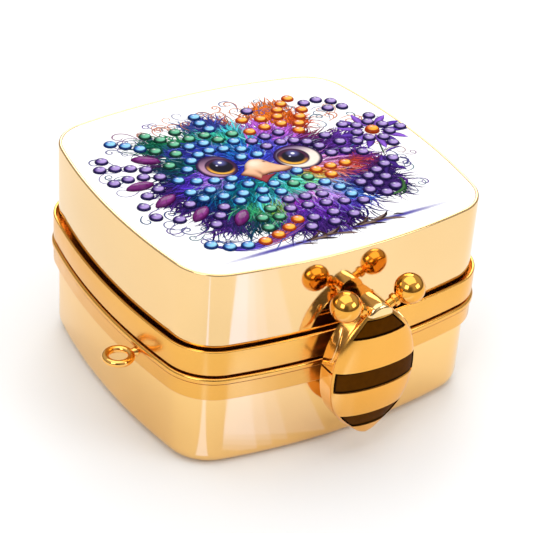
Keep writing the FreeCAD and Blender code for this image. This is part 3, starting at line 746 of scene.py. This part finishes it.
def makeCurls(draw):
    # fine tendrils round the body: each starts gently and ends in a tight spiral
    f = curls
    count = f["count"]
    turn = draw.uniform(0, 2 * math.pi, count)
    turn = np.where((turn > 3.9) & (turn < 5.6), turn - math.pi, turn)   # none under the feet
    reach = picture["bodyRadius"] * draw.uniform(*f["reach"], count) * (1 + 0.18 * np.abs(np.cos(turn)))
    roots = np.stack([np.cos(turn), np.sin(turn)], axis=-1) * reach[:, None] * (1, 0.92)
    roots = roots + picture["bodyCentre"] + f["shift"]
    heading = turn + draw.normal(0, f["fan"], count)
    hand = np.where(draw.uniform(0, 1, count) > 0.5, 1.0, -1.0)
    bend = hand * draw.uniform(*f["bend"], count)
    length = draw.uniform(*f["length"], count)
    paths = curvedPaths(roots, heading, length, bend, f["sections"], 2.2)
    s = np.linspace(0, 1, f["sections"])
    widths = draw.uniform(*f["width"], count)[:, None] * (0.35 + 0.65 * np.sin(math.pi * s) ** 0.5)[None]
    cool = mix(linear(f["teal"]), linear(f["violet"]), draw.uniform(0, 1, count))
    upRight = smoothStep(0.25, 0.6, np.cos(turn - 1.0)) * (draw.uniform(0, 1, count) > 0.35)
    colors = mix(cool, linear(f["warm"]), upRight)
    colors = mix(colors, linear(f["pale"]), draw.uniform(0, 0.15, count))
    colors = np.repeat(colors[:, None], f["sections"], axis=1)
    level = picture["face"] + f["lift"] + f["pile"] * np.arange(count) / count
    edgeX, edgeY, edgeRadius = f["edge"]
    over = np.clip(np.abs(paths) - (edgeX, edgeY), 0, None)
    # only those inside the plate's rounded outline
    keep = np.hypot(over[..., 0], over[..., 1]).max(axis=1) < edgeRadius
    return sliverMesh("tendrils", paths[keep], widths[keep], level[keep], 0.02 * mm, colors[keep])


shade = dict(centre=(-0.5, -23.8), halfLength=24.8, halfWidth=0.95, lift=0.002 * mm, white=(250, 250, 252),
             violet=(76, 66, 160))


def makeGroundShade():
    # soft violet stroke: half width shrinks with distance from the middle, and the colour fades to white
    u = np.linspace(-1, 1, 60)
    v = np.concatenate([np.linspace(-1, 1, 13), [1.0, 0.0, -1.0]])
    uu, vv = np.meshgrid(u, v)
    x = shade["centre"][0] + shade["halfLength"] * uu
    y = shade["centre"][1] + 0.25 * uu + shade["halfWidth"] * vv * (1 - 0.8 * np.abs(uu) ** 2.5)
    z = np.full(uu.shape, picture["face"] + shade["lift"])
    z[-3:] = picture["face"] - picture["sink"]
    strength = (1 - smoothStep(0.5, 1.0, np.abs(uu))) * (1 - smoothStep(0.15, 1.0, np.abs(vv)))
    colors = mix(linear(shade["white"]), linear(shade["violet"]), strength)
    return gridPiece("groundShade", np.stack([x * mm, y * mm, z], axis=-1), 0, wrapRows=True, colors=colors)


flower = dict(centre=(24, 3), petals=13, hub=1.6, length=5.0, width=1.55, light=(140, 92, 205),
              dark=(100, 62, 172))
twigs = dict(starts=((-8.0, -24.2), (1.8, -23.7)), strokes=9, step=0.85,
             bark=((104, 80, 72), (54, 38, 42), (132, 108, 98)))
whiskers = dict(count=9, start=(-19.5, -18.2), step=(1.5, -0.35),
                inks=((58, 54, 140), (70, 96, 170), (48, 32, 110)))


def handStrokes():
    # rows of: x, y, heading in degrees, length, bend, width, colour
    petals, hub = flower["petals"], flower["hub"]
    midX, midY = flower["centre"]
    rows = []
    for k in range(petals):   # spread evenly round the flower's hub
        angle = 10 + k * 360 / petals
        x, y = midX + hub * math.cos(math.radians(angle)), midY + hub * math.sin(math.radians(angle))
        rows.append((x, y, angle + 6, flower["length"], -0.25, flower["width"],
                     flower["light"] if k % 2 else flower["dark"]))
    for footX, footY in twigs["starts"]:   # a gnarled twig under each foot
        for k in range(twigs["strokes"]):
            high, thick = 0.2 if k % 2 else -0.2, 0.38 + 0.12 * (k % 3)
            rows.append((footX + twigs["step"] * k, footY + 0.16 * k % 0.5 + high, 352 + 9 * (k % 4),
                         2.6 + 0.5 * (k % 3), 0.5 if k % 2 else -0.4, thick, twigs["bark"][k % 3]))
    (startX, startY), (stepX, stepY) = whiskers["start"], whiskers["step"]
    for k in range(whiskers["count"]):   # these sweep round the tail
        rows.append((startX + stepX * k, startY + stepY * k, 172 + 7 * k, 4.2 + 0.5 * (k % 4),
                     -1.7 + 0.25 * k, 0.2, whiskers["inks"][k % 3]))
    rows += [
        (22.9, -0.6, 247, 5.6, 0.05, 0.30, (52, 84, 52)), (20.2, -5.6, 230, 3.2, 0.3, 0.9, (92, 52, 160)),
        (20.2, -5.6, 300, 3.0, 1.1, 0.8, (80, 60, 150)), (20.4, -5.8, 265, 4.2, 0.4, 1.5, (70, 40, 130)),
        (19.6, -9.0, 200, 3.4, 0.9, 1.1, (58, 34, 112)), (19.4, -9.2, 340, 3.2, -0.9, 1.1, (70, 38, 130)),
        (18.6, -12.6, 285, 8.8, -2.2, 0.75, (66, 110, 62)), (18.5, -13.2, 280, 7.2, -1.5, 0.4, (40, 76, 48)),
        (17.6, -15.6, 345, 4.6, 3.2, 0.5, (92, 44, 140)), (22.3, -7.4, 20, 4.6, -4.2, 0.45, (96, 92, 150)),
        (16.9, -0.5, 25, 5.4, 0.2, 0.35, (70, 120, 180)), (21.5, -4.9, 35, 4.0, -0.8, 0.5, (96, 60, 160)),
        (-3.9, -21.2, 285, 3.2, 0.5, 0.45, (62, 40, 40)), (-3.6, -23.2, 318, 2.4, 0.9, 0.5, (78, 56, 52)),
        (-4.2, -23.0, 215, 2.6, -0.6, 0.5, (78, 56, 52)), (5.0, -21.2, 300, 3.3, 0.5, 0.45, (62, 40, 40)),
        (6.4, -23.0, 322, 2.2, 0.8, 0.5, (78, 56, 52)), (5.6, -22.8, 200, 2.4, -0.6, 0.5, (78, 56, 52)),
        (10.6, -23.1, 20, 2.0, -1.4, 0.4, (80, 70, 70)), (-7.6, -24.0, 150, 1.5, 0.8, 0.35, (74, 56, 54)),
        (-13.5, -0.4, 350, 7.5, 0.55, 0.9, (178, 130, 240)), (-3.5, -2.2, 200, 3.5, -0.9, 0.6, (36, 60, 140)),
        (2.8, -2.6, 335, 8.8, 0.45, 0.8, (238, 168, 226)), (3.0, -1.9, 330, 5.0, 0.5, 0.5, (150, 90, 210)),
        (0.6, 12.8, 280, 7.0, 0.5, 0.55, (120, 225, 225)), (2.6, 12.4, 262, 6.0, -0.5, 0.5, (205, 130, 240)),
        (-1.2, -3.8, 322, 9.0, 0.25, 1.0, (120, 235, 215)), (-6.0, -7.5, 232, 6.5, 0.5, 0.7, (90, 205, 220))]
    return rows


def makeHandStrokes(draw):
    # width = own width * a bow over the length; points shaken a little so that the edges look drawn
    rows = handStrokes()
    roots = np.array([r[:2] for r in rows], dtype=float)
    heading, length, bend, width = (np.array([float(r[k]) for r in rows]) for k in (2, 3, 4, 5))
    sections = 18
    paths = curvedPaths(roots, np.radians(heading), length, bend, sections)
    s = np.linspace(0, 1, sections)
    widths = width[:, None] * (0.12 + 0.88 * np.sin(math.pi * np.clip(s * 1.05, 0, 1)) ** 0.7)[None]
    paths = paths + draw.normal(0, 0.025, paths.shape)
    colors = linear(np.array([r[6] for r in rows]))[:, None] * (0.75 + 0.5 * s)[None, :, None]
    level = picture["face"] + 0.045 * mm + 0.012 * mm * np.arange(len(rows)) / len(rows)
    return sliverMesh("bloomAndFeet", paths, widths, level, 0.03 * mm, colors)

eyes = dict(
    left=dict(centre=(-8.0, 3.2), size=(3.55, 3.95), iris=(-7.35, 2.85), irisRadius=2.85, pupil=2.1,
              glint=(-6.9, 4.1), white=(186, 142, 168), shade=(48, 22, 70)),
    right=dict(centre=(6.6, 0.3), size=(4.35, 4.3), iris=(5.75, 0.55), irisRadius=2.9, pupil=2.05,
               glint=(6.3, 1.6), white=(244, 228, 216), shade=(104, 66, 126)))
eyePaint = dict(lift=0.05, dome=0.16, irisDark=(70, 26, 56), irisGlow=(236, 128, 22), ember=(255, 205, 80),
                irisRim=(40, 16, 50), pupil=(14, 8, 28), haze=(120, 120, 200), glint=(250, 250, 255),
                smallGlint=(220, 220, 250), lidLine=(46, 20, 66))


def makeEye(side):
    # low dome over an ellipse; tone follows the distances from the eye's, iris's and glint's centres
    eye = eyes[side]
    ink = {word: linear(eyePaint[word]) for word in eyePaint if word not in ("lift", "dome")}
    fraction = np.concatenate([np.linspace(0, 1, 30), [1.0, 0.0]])
    turn = np.linspace(0, 2 * math.pi, 72, endpoint=False)
    f, a = np.meshgrid(fraction, turn, indexing="ij")
    x = eye["centre"][0] + eye["size"][0] * f * np.cos(a)
    y = eye["centre"][1] + eye["size"][1] * f * np.sin(a)
    z = picture["face"] + (eyePaint["lift"] + eyePaint["dome"] * np.sqrt(np.clip(1 - f ** 2, 0, 1))) * mm
    z[-2:] = picture["face"] - picture["sink"]
    dx, dy = x - eye["iris"][0], y - eye["iris"][1]
    fromIris = np.hypot(dx, dy) / eye["irisRadius"]
    high = (y - eye["centre"][1]) / eye["size"][1]
    colors = mix(linear(eye["white"]), linear(eye["shade"]), smoothStep(-0.1, 1.0, high))
    glow = smoothStep(-0.1, 0.9, (-dy * 0.85 - dx * 0.5) / eye["irisRadius"])
    irisTone = mix(ink["irisDark"], ink["irisGlow"], glow)
    irisTone = mix(irisTone, ink["ember"], glow * smoothStep(0.5, 0.72, fromIris) * 0.7)
    irisTone = mix(irisTone, ink["irisRim"], smoothStep(0.82, 0.98, fromIris))
    colors = mix(colors, irisTone, 1 - smoothStep(0.96, 1.04, fromIris))
    colors = mix(colors, ink["pupil"], 1 - smoothStep(0.9, 1.12, np.hypot(dx, dy) / eye["pupil"]))
    gx, gy = x - eye["glint"][0], y - eye["glint"][1]
    colors = mix(colors, ink["haze"], (1 - smoothStep(0.2, 1.5, np.hypot(gx, gy))) * 0.55)
    colors = mix(colors, ink["glint"], 1 - smoothStep(0.25, 0.42, np.hypot(gx, gy)))
    colors = mix(colors, ink["smallGlint"], 1 - smoothStep(0.12, 0.26, np.hypot(gx + 1.0, gy + 0.7)))
    colors = mix(colors, ink["lidLine"], smoothStep(0.80, 0.92, f))
    return gridPiece(side + "Eye", np.stack([x * mm, y * mm, z], axis=-1), 0, wrapColumns=True, colors=colors)


def smoothLoop(corners, count):
    # closed polygon resampled evenly, then each point averaged with its neighbours four times
    corners = np.array(corners + corners[:1], dtype=float)
    run = np.concatenate([[0], np.cumsum(np.linalg.norm(np.diff(corners, axis=0), axis=1))])
    even = np.linspace(0, run[-1], count, endpoint=False)
    loop = np.stack([np.interp(even, run, corners[:, k]) for k in (0, 1)], axis=-1)
    for _ in range(4):
        loop = (np.roll(loop, 1, axis=0) + 2 * loop + np.roll(loop, -1, axis=0)) / 4
    return loop


beak = dict(
    steps=96, lift=0.06, shine=(255, 236, 214), fold=(120, 60, 50), nostril=(84, 40, 40),
    upper=dict(outline=[(-1.6, 3.1), (0.2, 2.6), (1.3, 0.4), (2.6, -1.2), (4.4, -2.4), (2.2, -3.0),
                        (-0.6, -2.5), (-2.6, -2.9), (-3.3, -4.0), (-4.0, -2.5), (-5.9, -0.9), (-4.4, 0.0),
                        (-3.2, 2.0)],
               heart=(-1.4, -0.1), rise=0.34, pale=(242, 186, 146), deep=(104, 48, 34)),
    mouth=dict(outline=[(-4.5, -1.9), (-2.6, -2.7), (0.4, -2.9), (-1.6, -4.0), (-3.0, -5.2), (-3.7, -3.8)],
               heart=(-2.8, -3.5), rise=0.12, pale=(150, 52, 60), deep=(48, 18, 40)))


def makeBeakPart(which):
    # fan from the heart to the outline, rising to a rounded ridge in the middle
    part = beak[which]
    loop = smoothLoop(part["outline"], beak["steps"])
    f = np.concatenate([np.linspace(0, 1, 22), [1.0, 0.0]])[:, None]
    spots = np.array(part["heart"]) + (loop - part["heart"])[None] * f[..., None]
    crown = np.sqrt(np.clip(1 - f ** 2, 0, 1)) * np.ones((1, beak["steps"]))
    z = picture["face"] + (beak["lift"] + part["rise"] * crown) * mm
    z[-2:] = picture["face"] - picture["sink"]
    x, y = spots[..., 0], spots[..., 1]
    colors = mix(linear(part["deep"]), linear(part["pale"]), smoothStep(0.15, 0.8, crown))
    if which == "upper":
        shine = np.exp(-((x + 1.9) ** 2 + (y - 1.2) ** 2) / 2.2)
        colors = mix(colors, linear(beak["shine"]), shine * 0.8)
        fold = np.exp(-((x + 3.0 + 0.25 * y) ** 2) / 0.18) * smoothStep(-0.2, -2.4, y)
        colors = mix(colors, linear(beak["fold"]), np.clip(fold, 0, 1) * 0.7)
        nostril = np.exp(-((x - 0.1) ** 2 + (y - 1.1) ** 2) / 0.09)
        colors = mix(colors, linear(beak["nostril"]), nostril)
    points = np.concatenate([spots * mm, z[..., None]], axis=-1)
    return gridPiece(which + "Beak", points, 0, wrapColumns=True, colors=colors)


draw = np.random.default_rng(picture["seed"])
for painted in (makeUnderpaint(draw), makeFur(draw), makeTufts(draw), makeTail(draw), makeCurls(draw),
                makeGroundShade(), makeHandStrokes(draw)):
    place(painted, "lid", "white_plate", inkFinish)
for domed in (makeEye("left"), makeEye("right"), makeBeakPart("mouth"), makeBeakPart("upper")):
    place(domed, "lid", "white_plate", eyeFinish)
print("lid picture painted")

gems = dict(
    radius=1.2, height=0.8, segments=16, seat=37.82 * mm, sharpAngle=50,
    # rim tones the painted shade at the edge and the painted dark reflection, pale the painted pool of light;
    # heart is the resin's own colour
    rim=dict(blue=(2, 40, 100), green=(2, 52, 42), orange=(160, 50, 2), purple=(24, 10, 70)),
    heart=dict(blue=(20, 104, 190), green=(16, 110, 76), orange=(228, 108, 4), purple=(88, 52, 142)),
    pale=dict(blue=(136, 204, 244), green=(96, 186, 144), orange=(255, 178, 48), purple=(168, 140, 208)))


def cadClouds(nodeName, count):
    # each gem's own run of points on the fixed node, one row of points for each gem
    mesh = nodes[nodeName].data
    co = np.empty(len(mesh.vertices) * 3)
    mesh.vertices.foreach_get("co", co)
    return co.reshape(count, -1, 3)


def gemTone(color, dx, dy, f):
    # painted light on each gem: a painted shade at the rim, a painted dark reflection as a crescent at the
    # back left, a painted pool of light over the middle and front, and a painted white glint
    rim, heart, pale = (linear(gems[k][color]) for k in ("rim", "heart", "pale"))
    # painted light: paler towards the middle and front
    tone = mix(heart, pale, smoothStep(0.42, -0.35, dy - 0.3 * dx))
    # painted reflection: a dark crescent at the back left
    paintedDarkReflection = smoothStep(0.18, 0.62, dy - 0.35 * dx)
    tone = mix(tone, rim, paintedDarkReflection * 0.55)
    # painted highlight: a small white glint
    paintedGlint = np.exp(-((dx + 0.05) ** 2 + (dy - 0.20) ** 2) / 0.02)
    tone = mix(tone, linear((255, 255, 255)), np.clip(paintedGlint, 0, 1) * 0.75)
    # painted shade: darker towards the rim
    return mix(tone, rim, smoothStep(0.68, 0.82, f))


def makeGems(name, nodeName, count, color, scale=1.0, rise=0.62):
    # turned cabochon: radius and height follow one profile, repeated at every centre
    centres = cadClouds(nodeName, count).mean(axis=1)[:, :2]
    reach = np.array([0.0, 0.14, 0.30, 0.46, 0.60, 0.72, 0.80, 0.87, 0.94, 1.0, 1.0, 0.0])
    height = np.array([1.0, 0.99, 0.97, 0.93, 0.87, 0.79, 0.70, 0.60, 0.45, 0.22, 0.0, 0.0]) * rise
    turn = np.arange(gems["segments"]) * 2 * math.pi / gems["segments"]
    dx, dy = reach[:, None] * np.cos(turn), reach[:, None] * np.sin(turn)
    tone = gemTone(color, dx, dy, np.broadcast_to(reach[:, None], dx.shape))
    size = gems["radius"] * scale * mm
    rings, segments = dx.shape
    flat = np.stack([dx, dy], axis=-1)[None] * size + centres[:, None, None]
    z = (gems["seat"] + height * gems["height"] * mm)[None, :, None, None]
    z = np.broadcast_to(z, flat.shape[:3] + (1,))
    points = np.concatenate([flat, z], axis=-1)
    one = gridFaces(rings, segments, wrapColumns=True)
    faces = (one[None] + (np.arange(count) * rings * segments)[:, None, None]).reshape(-1, 4).tolist()
    piece = makePiece(name, points, faces, gems["sharpAngle"], np.broadcast_to(tone, points.shape))
    return place(piece, "lid", color + "_resin", resinFinish, nodeName)


makeGems("blueGems", "blue_gems", 41, "blue")
makeGems("greenGems", "green_gems", 17, "green")
makeGems("orangeGems", "orange_gems", 21, "orange")
makeGems("purpleGems", "purple_gems", 73, "purple")
makeGems("flowerHeart", "flower_gem", 1, "orange", 1.15, 1.02)

# rim tones the veins and a painted shade at the edge, pale a painted highlight along one side; heart is the
# resin's own colour
leafGems = dict(length=5.2, width=2.3, height=0.7, count=5, rim=(40, 8, 52), heart=(112, 18, 108),
                pale=(176, 76, 172))


def makeLeafGems():
    # pointed oval: two facing arcs, drawn in towards the spine as they rise
    cloud = cadClouds("marquise_gems", leafGems["count"])
    middle = cloud.mean(axis=1, keepdims=True)[..., :2]
    offset = cloud[..., :2] - middle
    far = np.take_along_axis(offset, np.linalg.norm(offset, axis=-1).argmax(1)[:, None, None], axis=1)[:, 0]
    axis = far / np.linalg.norm(far, axis=-1, keepdims=True)
    half, bow = leafGems["length"] / 2, leafGems["width"] / 2
    t = np.linspace(0, 2 * math.pi, 40, endpoint=False)
    px, py = half * np.cos(t), bow * np.sin(t) * np.abs(np.sin(t)) ** 0.35
    reach = np.array([0.0, 0.25, 0.5, 0.72, 0.86, 0.97, 1.0, 1.0, 0.0])
    height = np.array([1.0, 0.98, 0.92, 0.80, 0.62, 0.40, 0.25, 0.0, 0.0])
    lx, ly = reach[:, None] * px, reach[:, None] * py
    across = np.stack([-axis[:, 1], axis[:, 0]], axis=-1)
    flat = middle[:, None] + (lx[None, ..., None] * axis[:, None, None]
                              + ly[None, ..., None] * across[:, None, None]) * mm
    z = np.broadcast_to((gems["seat"] + height * leafGems["height"] * mm)[None, :, None, None],
                        flat.shape[:3] + (1,))
    rim, heart, pale = (linear(leafGems[k]) for k in ("rim", "heart", "pale"))
    veins = smoothStep(0.6, 1.0, np.cos(lx * 4.2 + np.abs(ly) * 5.0)) * (reach[:, None] < 0.8)
    # painted highlight: lighter towards one side of each gem
    tone = mix(heart, pale, smoothStep(0.2, -0.6, ly) * 0.35 * (reach[:, None] < 0.8))
    # painted shade: darker at the edge of each gem
    paintedEdgeShade = smoothStep(0.8, 0.95, np.broadcast_to(reach[:, None], lx.shape))
    tone = mix(tone, rim, veins * 0.45 + paintedEdgeShade * 0.55)
    points = np.concatenate([flat, z], axis=-1)
    one = gridFaces(*lx.shape, wrapColumns=True)
    first = np.arange(leafGems["count"]) * lx.size
    faces = (one[None] + first[:, None, None]).reshape(-1, 4).tolist()
    piece = makePiece("leafGems", points, faces, gems["sharpAngle"], np.broadcast_to(tone, points.shape))
    return place(piece, "lid", "magenta_resin", resinFinish, "marquise_gems")


makeLeafGems()
print("gems set")


# the near black colour along the enamel's edges is a painted shade of the recess
bee = dict(middle=0.4, front=-35.1, flatness=0.30, wall=0.13, recess=0.42, enamelSink=0.3, rimRaise=0.06,
           rimBand=2.2, endShare=0.7, capOut=0.3, backGap=0.001, brown=(80, 42, 0), line=(10, 4, 0),
           outline=[(0, 4.5), (1.2, 5.0), (3.3, 6.7), (5.6, 8.9), (7.3, 11.8), (8.05, 15.5), (7.9, 19.6),
                    (6.9, 23.2), (5.3, 26.0), (2.5, 28.7)],   # half width at each height
           panels=[("lowerStripe", 7.1, 10.1, 0.55), ("middleStripe", 15.5, 19.2, 0.35),
                   ("upperStripe", 25.15, 28.0, 0.85)])


def splineThrough(points, count):
    # natural cubic through the points, run by chord length: second slopes come from one linear system
    points = np.array(points, dtype=float)
    run = np.concatenate([[0], np.cumsum(np.linalg.norm(np.diff(points, axis=0), axis=1))])
    gap = np.diff(run)[:, None]
    n = len(points)
    system, known = np.eye(n), np.zeros((n, 2))
    inner = np.arange(1, n - 1)
    system[inner, inner - 1] = gap[:-1, 0]
    system[inner, inner] = 2 * (gap[:-1, 0] + gap[1:, 0])
    system[inner, inner + 1] = gap[1:, 0]
    known[1:-1] = 6 * (np.diff(points[1:], axis=0) / gap[1:] - np.diff(points[:-1], axis=0) / gap[:-1])
    curve = np.linalg.solve(system, known)
    t = np.linspace(0, run[-1], count)
    k = np.clip(np.searchsorted(run, t, side="right") - 1, 0, n - 2)
    a, b, h = (run[k + 1] - t)[:, None], (t - run[k])[:, None], gap[k]
    return (curve[k] * a ** 3 + curve[k + 1] * b ** 3) / (6 * h) \
        + (points[k] / h - curve[k] * h / 6) * a + (points[k + 1] / h - curve[k + 1] * h / 6) * b


beeEdge = splineThrough(bee["outline"], 400)
beeLow, beeHigh = bee["outline"][0][1], bee["outline"][-1][1]


def beeHalf(z):
    # half width of the bee at a height, read off its edge curve
    return np.interp(z, beeEdge[:, 1], beeEdge[:, 0])


def panelShare(z):
    # how far across the bee the enamel panels reach at each height
    knots, share = [beeLow], [bee["endShare"]]
    for _, low, high, margin in bee["panels"]:
        knots += [low, high]
        share += [1 - margin / beeHalf(low), 1 - margin / beeHalf(high)]
    return np.interp(z, knots + [beeHigh], share + [bee["endShare"]])


def beeFront(x, z):
    # flattened turned body: y = front - flatness * sqrt(halfWidth ^ 2 - x ^ 2)
    return bee["front"] - bee["flatness"] * np.sqrt(np.clip(beeHalf(z) ** 2 - x ** 2, 0, None))


def makeBeeBody():
    # rows of points at each height, sunk by the recess inside the panels, closed by a flat back and a cap
    w = bee["wall"]
    edges = [z for _, low, high, _ in bee["panels"] for z in (low - w, low, high, high + w)]
    z = np.unique(np.concatenate([beeLow + (beeHigh - beeLow) * np.linspace(0, 1, 90) ** 1.1, edges]))
    inRow = np.zeros(len(z), dtype=bool)
    for _, low, high, _ in bee["panels"]:
        inRow |= (z >= low - 1e-9) & (z <= high + 1e-9)
    inner, outer = np.linspace(0, 1, 17), np.sin(np.linspace(0, 1, 12)[1:] * math.pi / 2)
    q = panelShare(z)[:, None]
    qWall = q + w / np.maximum(beeHalf(z)[:, None], 0.5)
    half = np.concatenate([q * inner, qWall, qWall + (1 - qWall) * outer], axis=1)
    share = np.concatenate([-half[:, :0:-1], half], axis=1)
    x = share * beeHalf(z)[:, None]
    zz = np.broadcast_to(z[:, None], x.shape)
    y = beeFront(x, zz)
    inside = inRow[:, None] & (np.abs(share) <= q + 1e-9)
    y = np.minimum(np.where(inside, y + bee["recess"], y), bee["front"])
    x = np.concatenate([x, x[:, :1] * 0], axis=1)
    y = np.concatenate([y, y[:, :1] * 0 + bee["front"]], axis=1)
    zz = np.concatenate([zz, zz[:, :1]], axis=1)
    points = np.stack([x + bee["middle"], y, zz], axis=-1)
    cap = np.array([bee["middle"], bee["front"] - bee["capOut"], z[-1]])
    cap = np.broadcast_to(cap, (1,) + points.shape[1:])
    points = np.concatenate([points, cap]) * mm
    return gridPiece("beeBody", points, 30, wrapColumns=True)


def makeStripe(name, low, high, margin):
    # enamel poured to just below the metal: front follows the bee's swell, with a raised edge
    z = np.linspace(low, high, 34)
    share = np.linspace(-1, 1, 81)
    zz, ss = np.meshgrid(z, share, indexing="ij")
    x = ss * panelShare(zz) * beeHalf(zz)
    toSide = (1 - np.abs(ss)) * panelShare(zz) * beeHalf(zz)
    toEnd = np.minimum(zz - low, high - zz)
    edge = 1 - np.minimum(toSide, toEnd) / bee["rimBand"]
    front = beeFront(x, zz) + bee["enamelSink"] - bee["rimRaise"] * smoothStep(0.86, 1.0, edge)
    front = np.minimum(front, bee["front"])
    behind = bee["front"] - bee["backGap"]
    back = np.full(x.shape, behind)
    loopX = np.concatenate([x, x[:, ::-1]], axis=1)
    loopY = np.concatenate([front, back[:, ::-1]], axis=1)
    loopZ = np.concatenate([zz, zz[:, ::-1]], axis=1)
    points = np.stack([loopX + bee["middle"], loopY, loopZ], axis=-1)
    low, high = points[:1].copy(), points[-1:].copy()
    low[..., 1], high[..., 1] = behind, behind
    # painted shade: the enamel turns near black along its edges, where the pocket walls shade it
    tone = mix(linear(bee["brown"]), linear(bee["line"]), smoothStep(0.84, 0.93, edge))
    tone = np.concatenate([tone, tone[:, ::-1]], axis=1)
    tone = np.concatenate([tone[:1], tone, tone[-1:]])
    return gridPiece(name, np.concatenate([low, points, high]) * mm, 40, wrapColumns=True, colors=tone)


def softCopy(name, nodeName, width, angle=38):
    # the fixed part's own shape, welded, with its sharp edges eased by a small rounding
    bm = bmesh.new()
    bm.from_mesh(nodes[nodeName].data)
    bmesh.ops.remove_doubles(bm, verts=bm.verts, dist=2e-7)
    bmesh.ops.dissolve_degenerate(bm, edges=bm.edges, dist=2e-7)
    bmesh.ops.dissolve_limit(bm, angle_limit=math.radians(0.6), verts=bm.verts, edges=bm.edges)
    sharp = [e for e in bm.edges if len(e.link_faces) == 2 and e.calc_face_angle(0) > math.radians(angle)]
    bmesh.ops.bevel(bm, geom=sharp, offset=width * mm, segments=2, profile=0.6, affect="EDGES",
                    clamp_overlap=True)
    bmesh.ops.dissolve_degenerate(bm, edges=bm.edges, dist=2e-7)
    bmesh.ops.triangulate(bm, faces=[f for f in bm.faces if len(f.verts) > 4])
    points = np.array([v.co[:] for v in bm.verts])
    faces = [[v.index for v in f.verts] for f in bm.faces]
    bm.free()
    return makePiece(name, points, faces, 42, closing=False)


def turned(origin, axis, profile, segments=40):
    # profile (radius, distance along the axis) turned about the axis
    axis = np.array(axis, dtype=float)
    axis = axis / np.linalg.norm(axis)
    helper = np.array([0.0, 0.0, 1.0]) if abs(axis[2]) < 0.9 else np.array([1.0, 0.0, 0.0])
    u = np.cross(axis, helper)
    u = u / np.linalg.norm(u)
    v = np.cross(axis, u)
    turn = np.arange(segments) * 2 * math.pi / segments
    spoke = np.cos(turn)[:, None] * u + np.sin(turn)[:, None] * v
    profile = np.array(profile, dtype=float)
    return np.array(origin) + profile[:, 0, None, None] * spoke[None] + profile[:, 1, None, None] * axis


def joined(name, grids, sharpAngle):
    # several closed grids kept as separate shells of one piece
    points, faces, first = [], [], 0
    for grid, wrapRows in grids:
        points.append(grid.reshape(-1, 3))
        faces += gridFaces(grid.shape[0], grid.shape[1], wrapRows, True, first).tolist()
        first += grid.shape[0] * grid.shape[1]
    return makePiece(name, np.concatenate(points) * mm, faces, sharpAngle)


antenna = dict(reach=6.2, y=-34.6, rootHeight=28.3, ballHeight=31.2, ball=2.6, flat=2.2, stem=0.8,
               collar=1.15, collarLength=0.9)


def makeAntenna(name, side):
    # ball cut flat at the back, on a thin stem from the bee's head with a collar just before the ball
    a = antenna
    centre = np.array([bee["middle"] + side * a["reach"], a["y"], a["ballHeight"]])
    root = np.array([bee["middle"], a["y"], a["rootHeight"]])
    way = centre - root
    length = np.linalg.norm(way)
    polar = np.linspace(0, math.acos(-a["flat"] / a["ball"]), 34)
    ball = np.stack([a["ball"] * np.sin(polar), -a["ball"] * np.cos(polar)], axis=-1)
    brim, flat = ball[-1, 0], a["flat"]
    ball = np.concatenate([ball[:-1], [[brim + 0.02, flat - 0.08], [brim - 0.14, flat], [0, flat]]])
    start = length - a["ball"] - a["collarLength"] - 0.1
    end = start + a["collarLength"]
    s, c = a["stem"], a["collar"]
    stem = [(0, 1.5), (s, 1.5), (s, start), (c - 0.15, start), (c, start + 0.15), (c, end - 0.15),
            (c - 0.15, end), (s, end + 0.05), (s + 0.12, length - a["ball"] + 0.1), (s, length - 1),
            (0, length - 1)]
    grids = [(turned(centre, (0, 1, 0), ball, 56), False), (turned(root, way, stem, 32), False)]
    return joined(name, grids, 35)


chainEye = dict(reach=34.5, y=-12.2, z=16.5, ring=2.15, wire=0.65, stub=0.7, foot=31.0,
                ringSteps=56, wireSteps=20)


def makeChainEye(name, side):
    # ring: turned wire section carried round a flat circle; stub: short post that flares at the frame
    c = chainEye
    turns, rounds = (np.arange(c[k]) * 2 * math.pi / c[k] for k in ("ringSteps", "wireSteps"))
    turn, around = np.meshgrid(turns, rounds, indexing="ij")
    reach = c["ring"] + c["wire"] * np.cos(around)
    ring = np.stack([side * c["reach"] + reach * np.cos(turn), c["y"] + reach * np.sin(turn),
                     c["z"] + c["wire"] * np.sin(around)], axis=-1)
    span = c["reach"] - c["ring"] - c["foot"] + 0.1
    r = c["stub"]
    stub = [(0, 0), (r + 0.25, 0), (r + 0.22, 0.25), (r, 0.55), (r - 0.05, span), (0, span)]
    post = turned((side * c["foot"], c["y"], c["z"]), (side, 0, 0), stub, 28)
    return joined(name, [(ring, True), (post, False)], 40)


place(makeSeatingLip(), "base", "deep_gold", finishes["deep"], "seating_lip")
for side, word in ((-1, "left"), (1, "right")):
    place(makeChainEye(word + "ChainEye", side), "base", "deep_gold", finishes["bright"], word + "_chain_eye")
    place(makeAntenna(word + "Antenna", side), "lid", "deep_gold", finishes["ball"], word + "_antenna")
place(makeBeeBody(), "lid", "deep_gold", finishes["satin"], "bee_body")
for stripe in bee["panels"]:
    nodeName = stripe[0].replace("Stripe", "_stripe")
    place(makeStripe(*stripe), "lid", "brown_enamel", finishes["enamel"], nodeName)
# the head, wings and clasps take the pale gilt, a lighter copy of the bee's gold as a painted highlight
for name, nodeName, body, width, slotName, finish in (
        ("beeHead", "bee_head", "lid", 0.15, "deep_gold", "pale"),
        ("beeWings", "wings", "lid", 0.08, "deep_gold", "pale"),
        ("upperClasp", "upper_clasp_lug", "lid", 0.16, "deep_gold", "pale"),
        ("lowerClasp", "lower_clasp_lug", "base", 0.16, "deep_gold", "pale"),
        ("lidHinge", "lid_hinge_leaf", "lid", 0.15, "deep_gold", "deep"),
        ("baseHinge", "base_hinge_leaf", "base", 0.15, "deep_gold", "deep"),
        ("hingePin", "hinge_pin", "base", 0.06, "deep_gold", "deep"),
        ("trayDivider", "tray_divider", "base", 0.22, "tray_plastic", "tray")):
    place(softCopy(name, nodeName, width), body, slotName, finishes[finish], nodeName)
print("bee clasp, eyes, hinge and divider made")
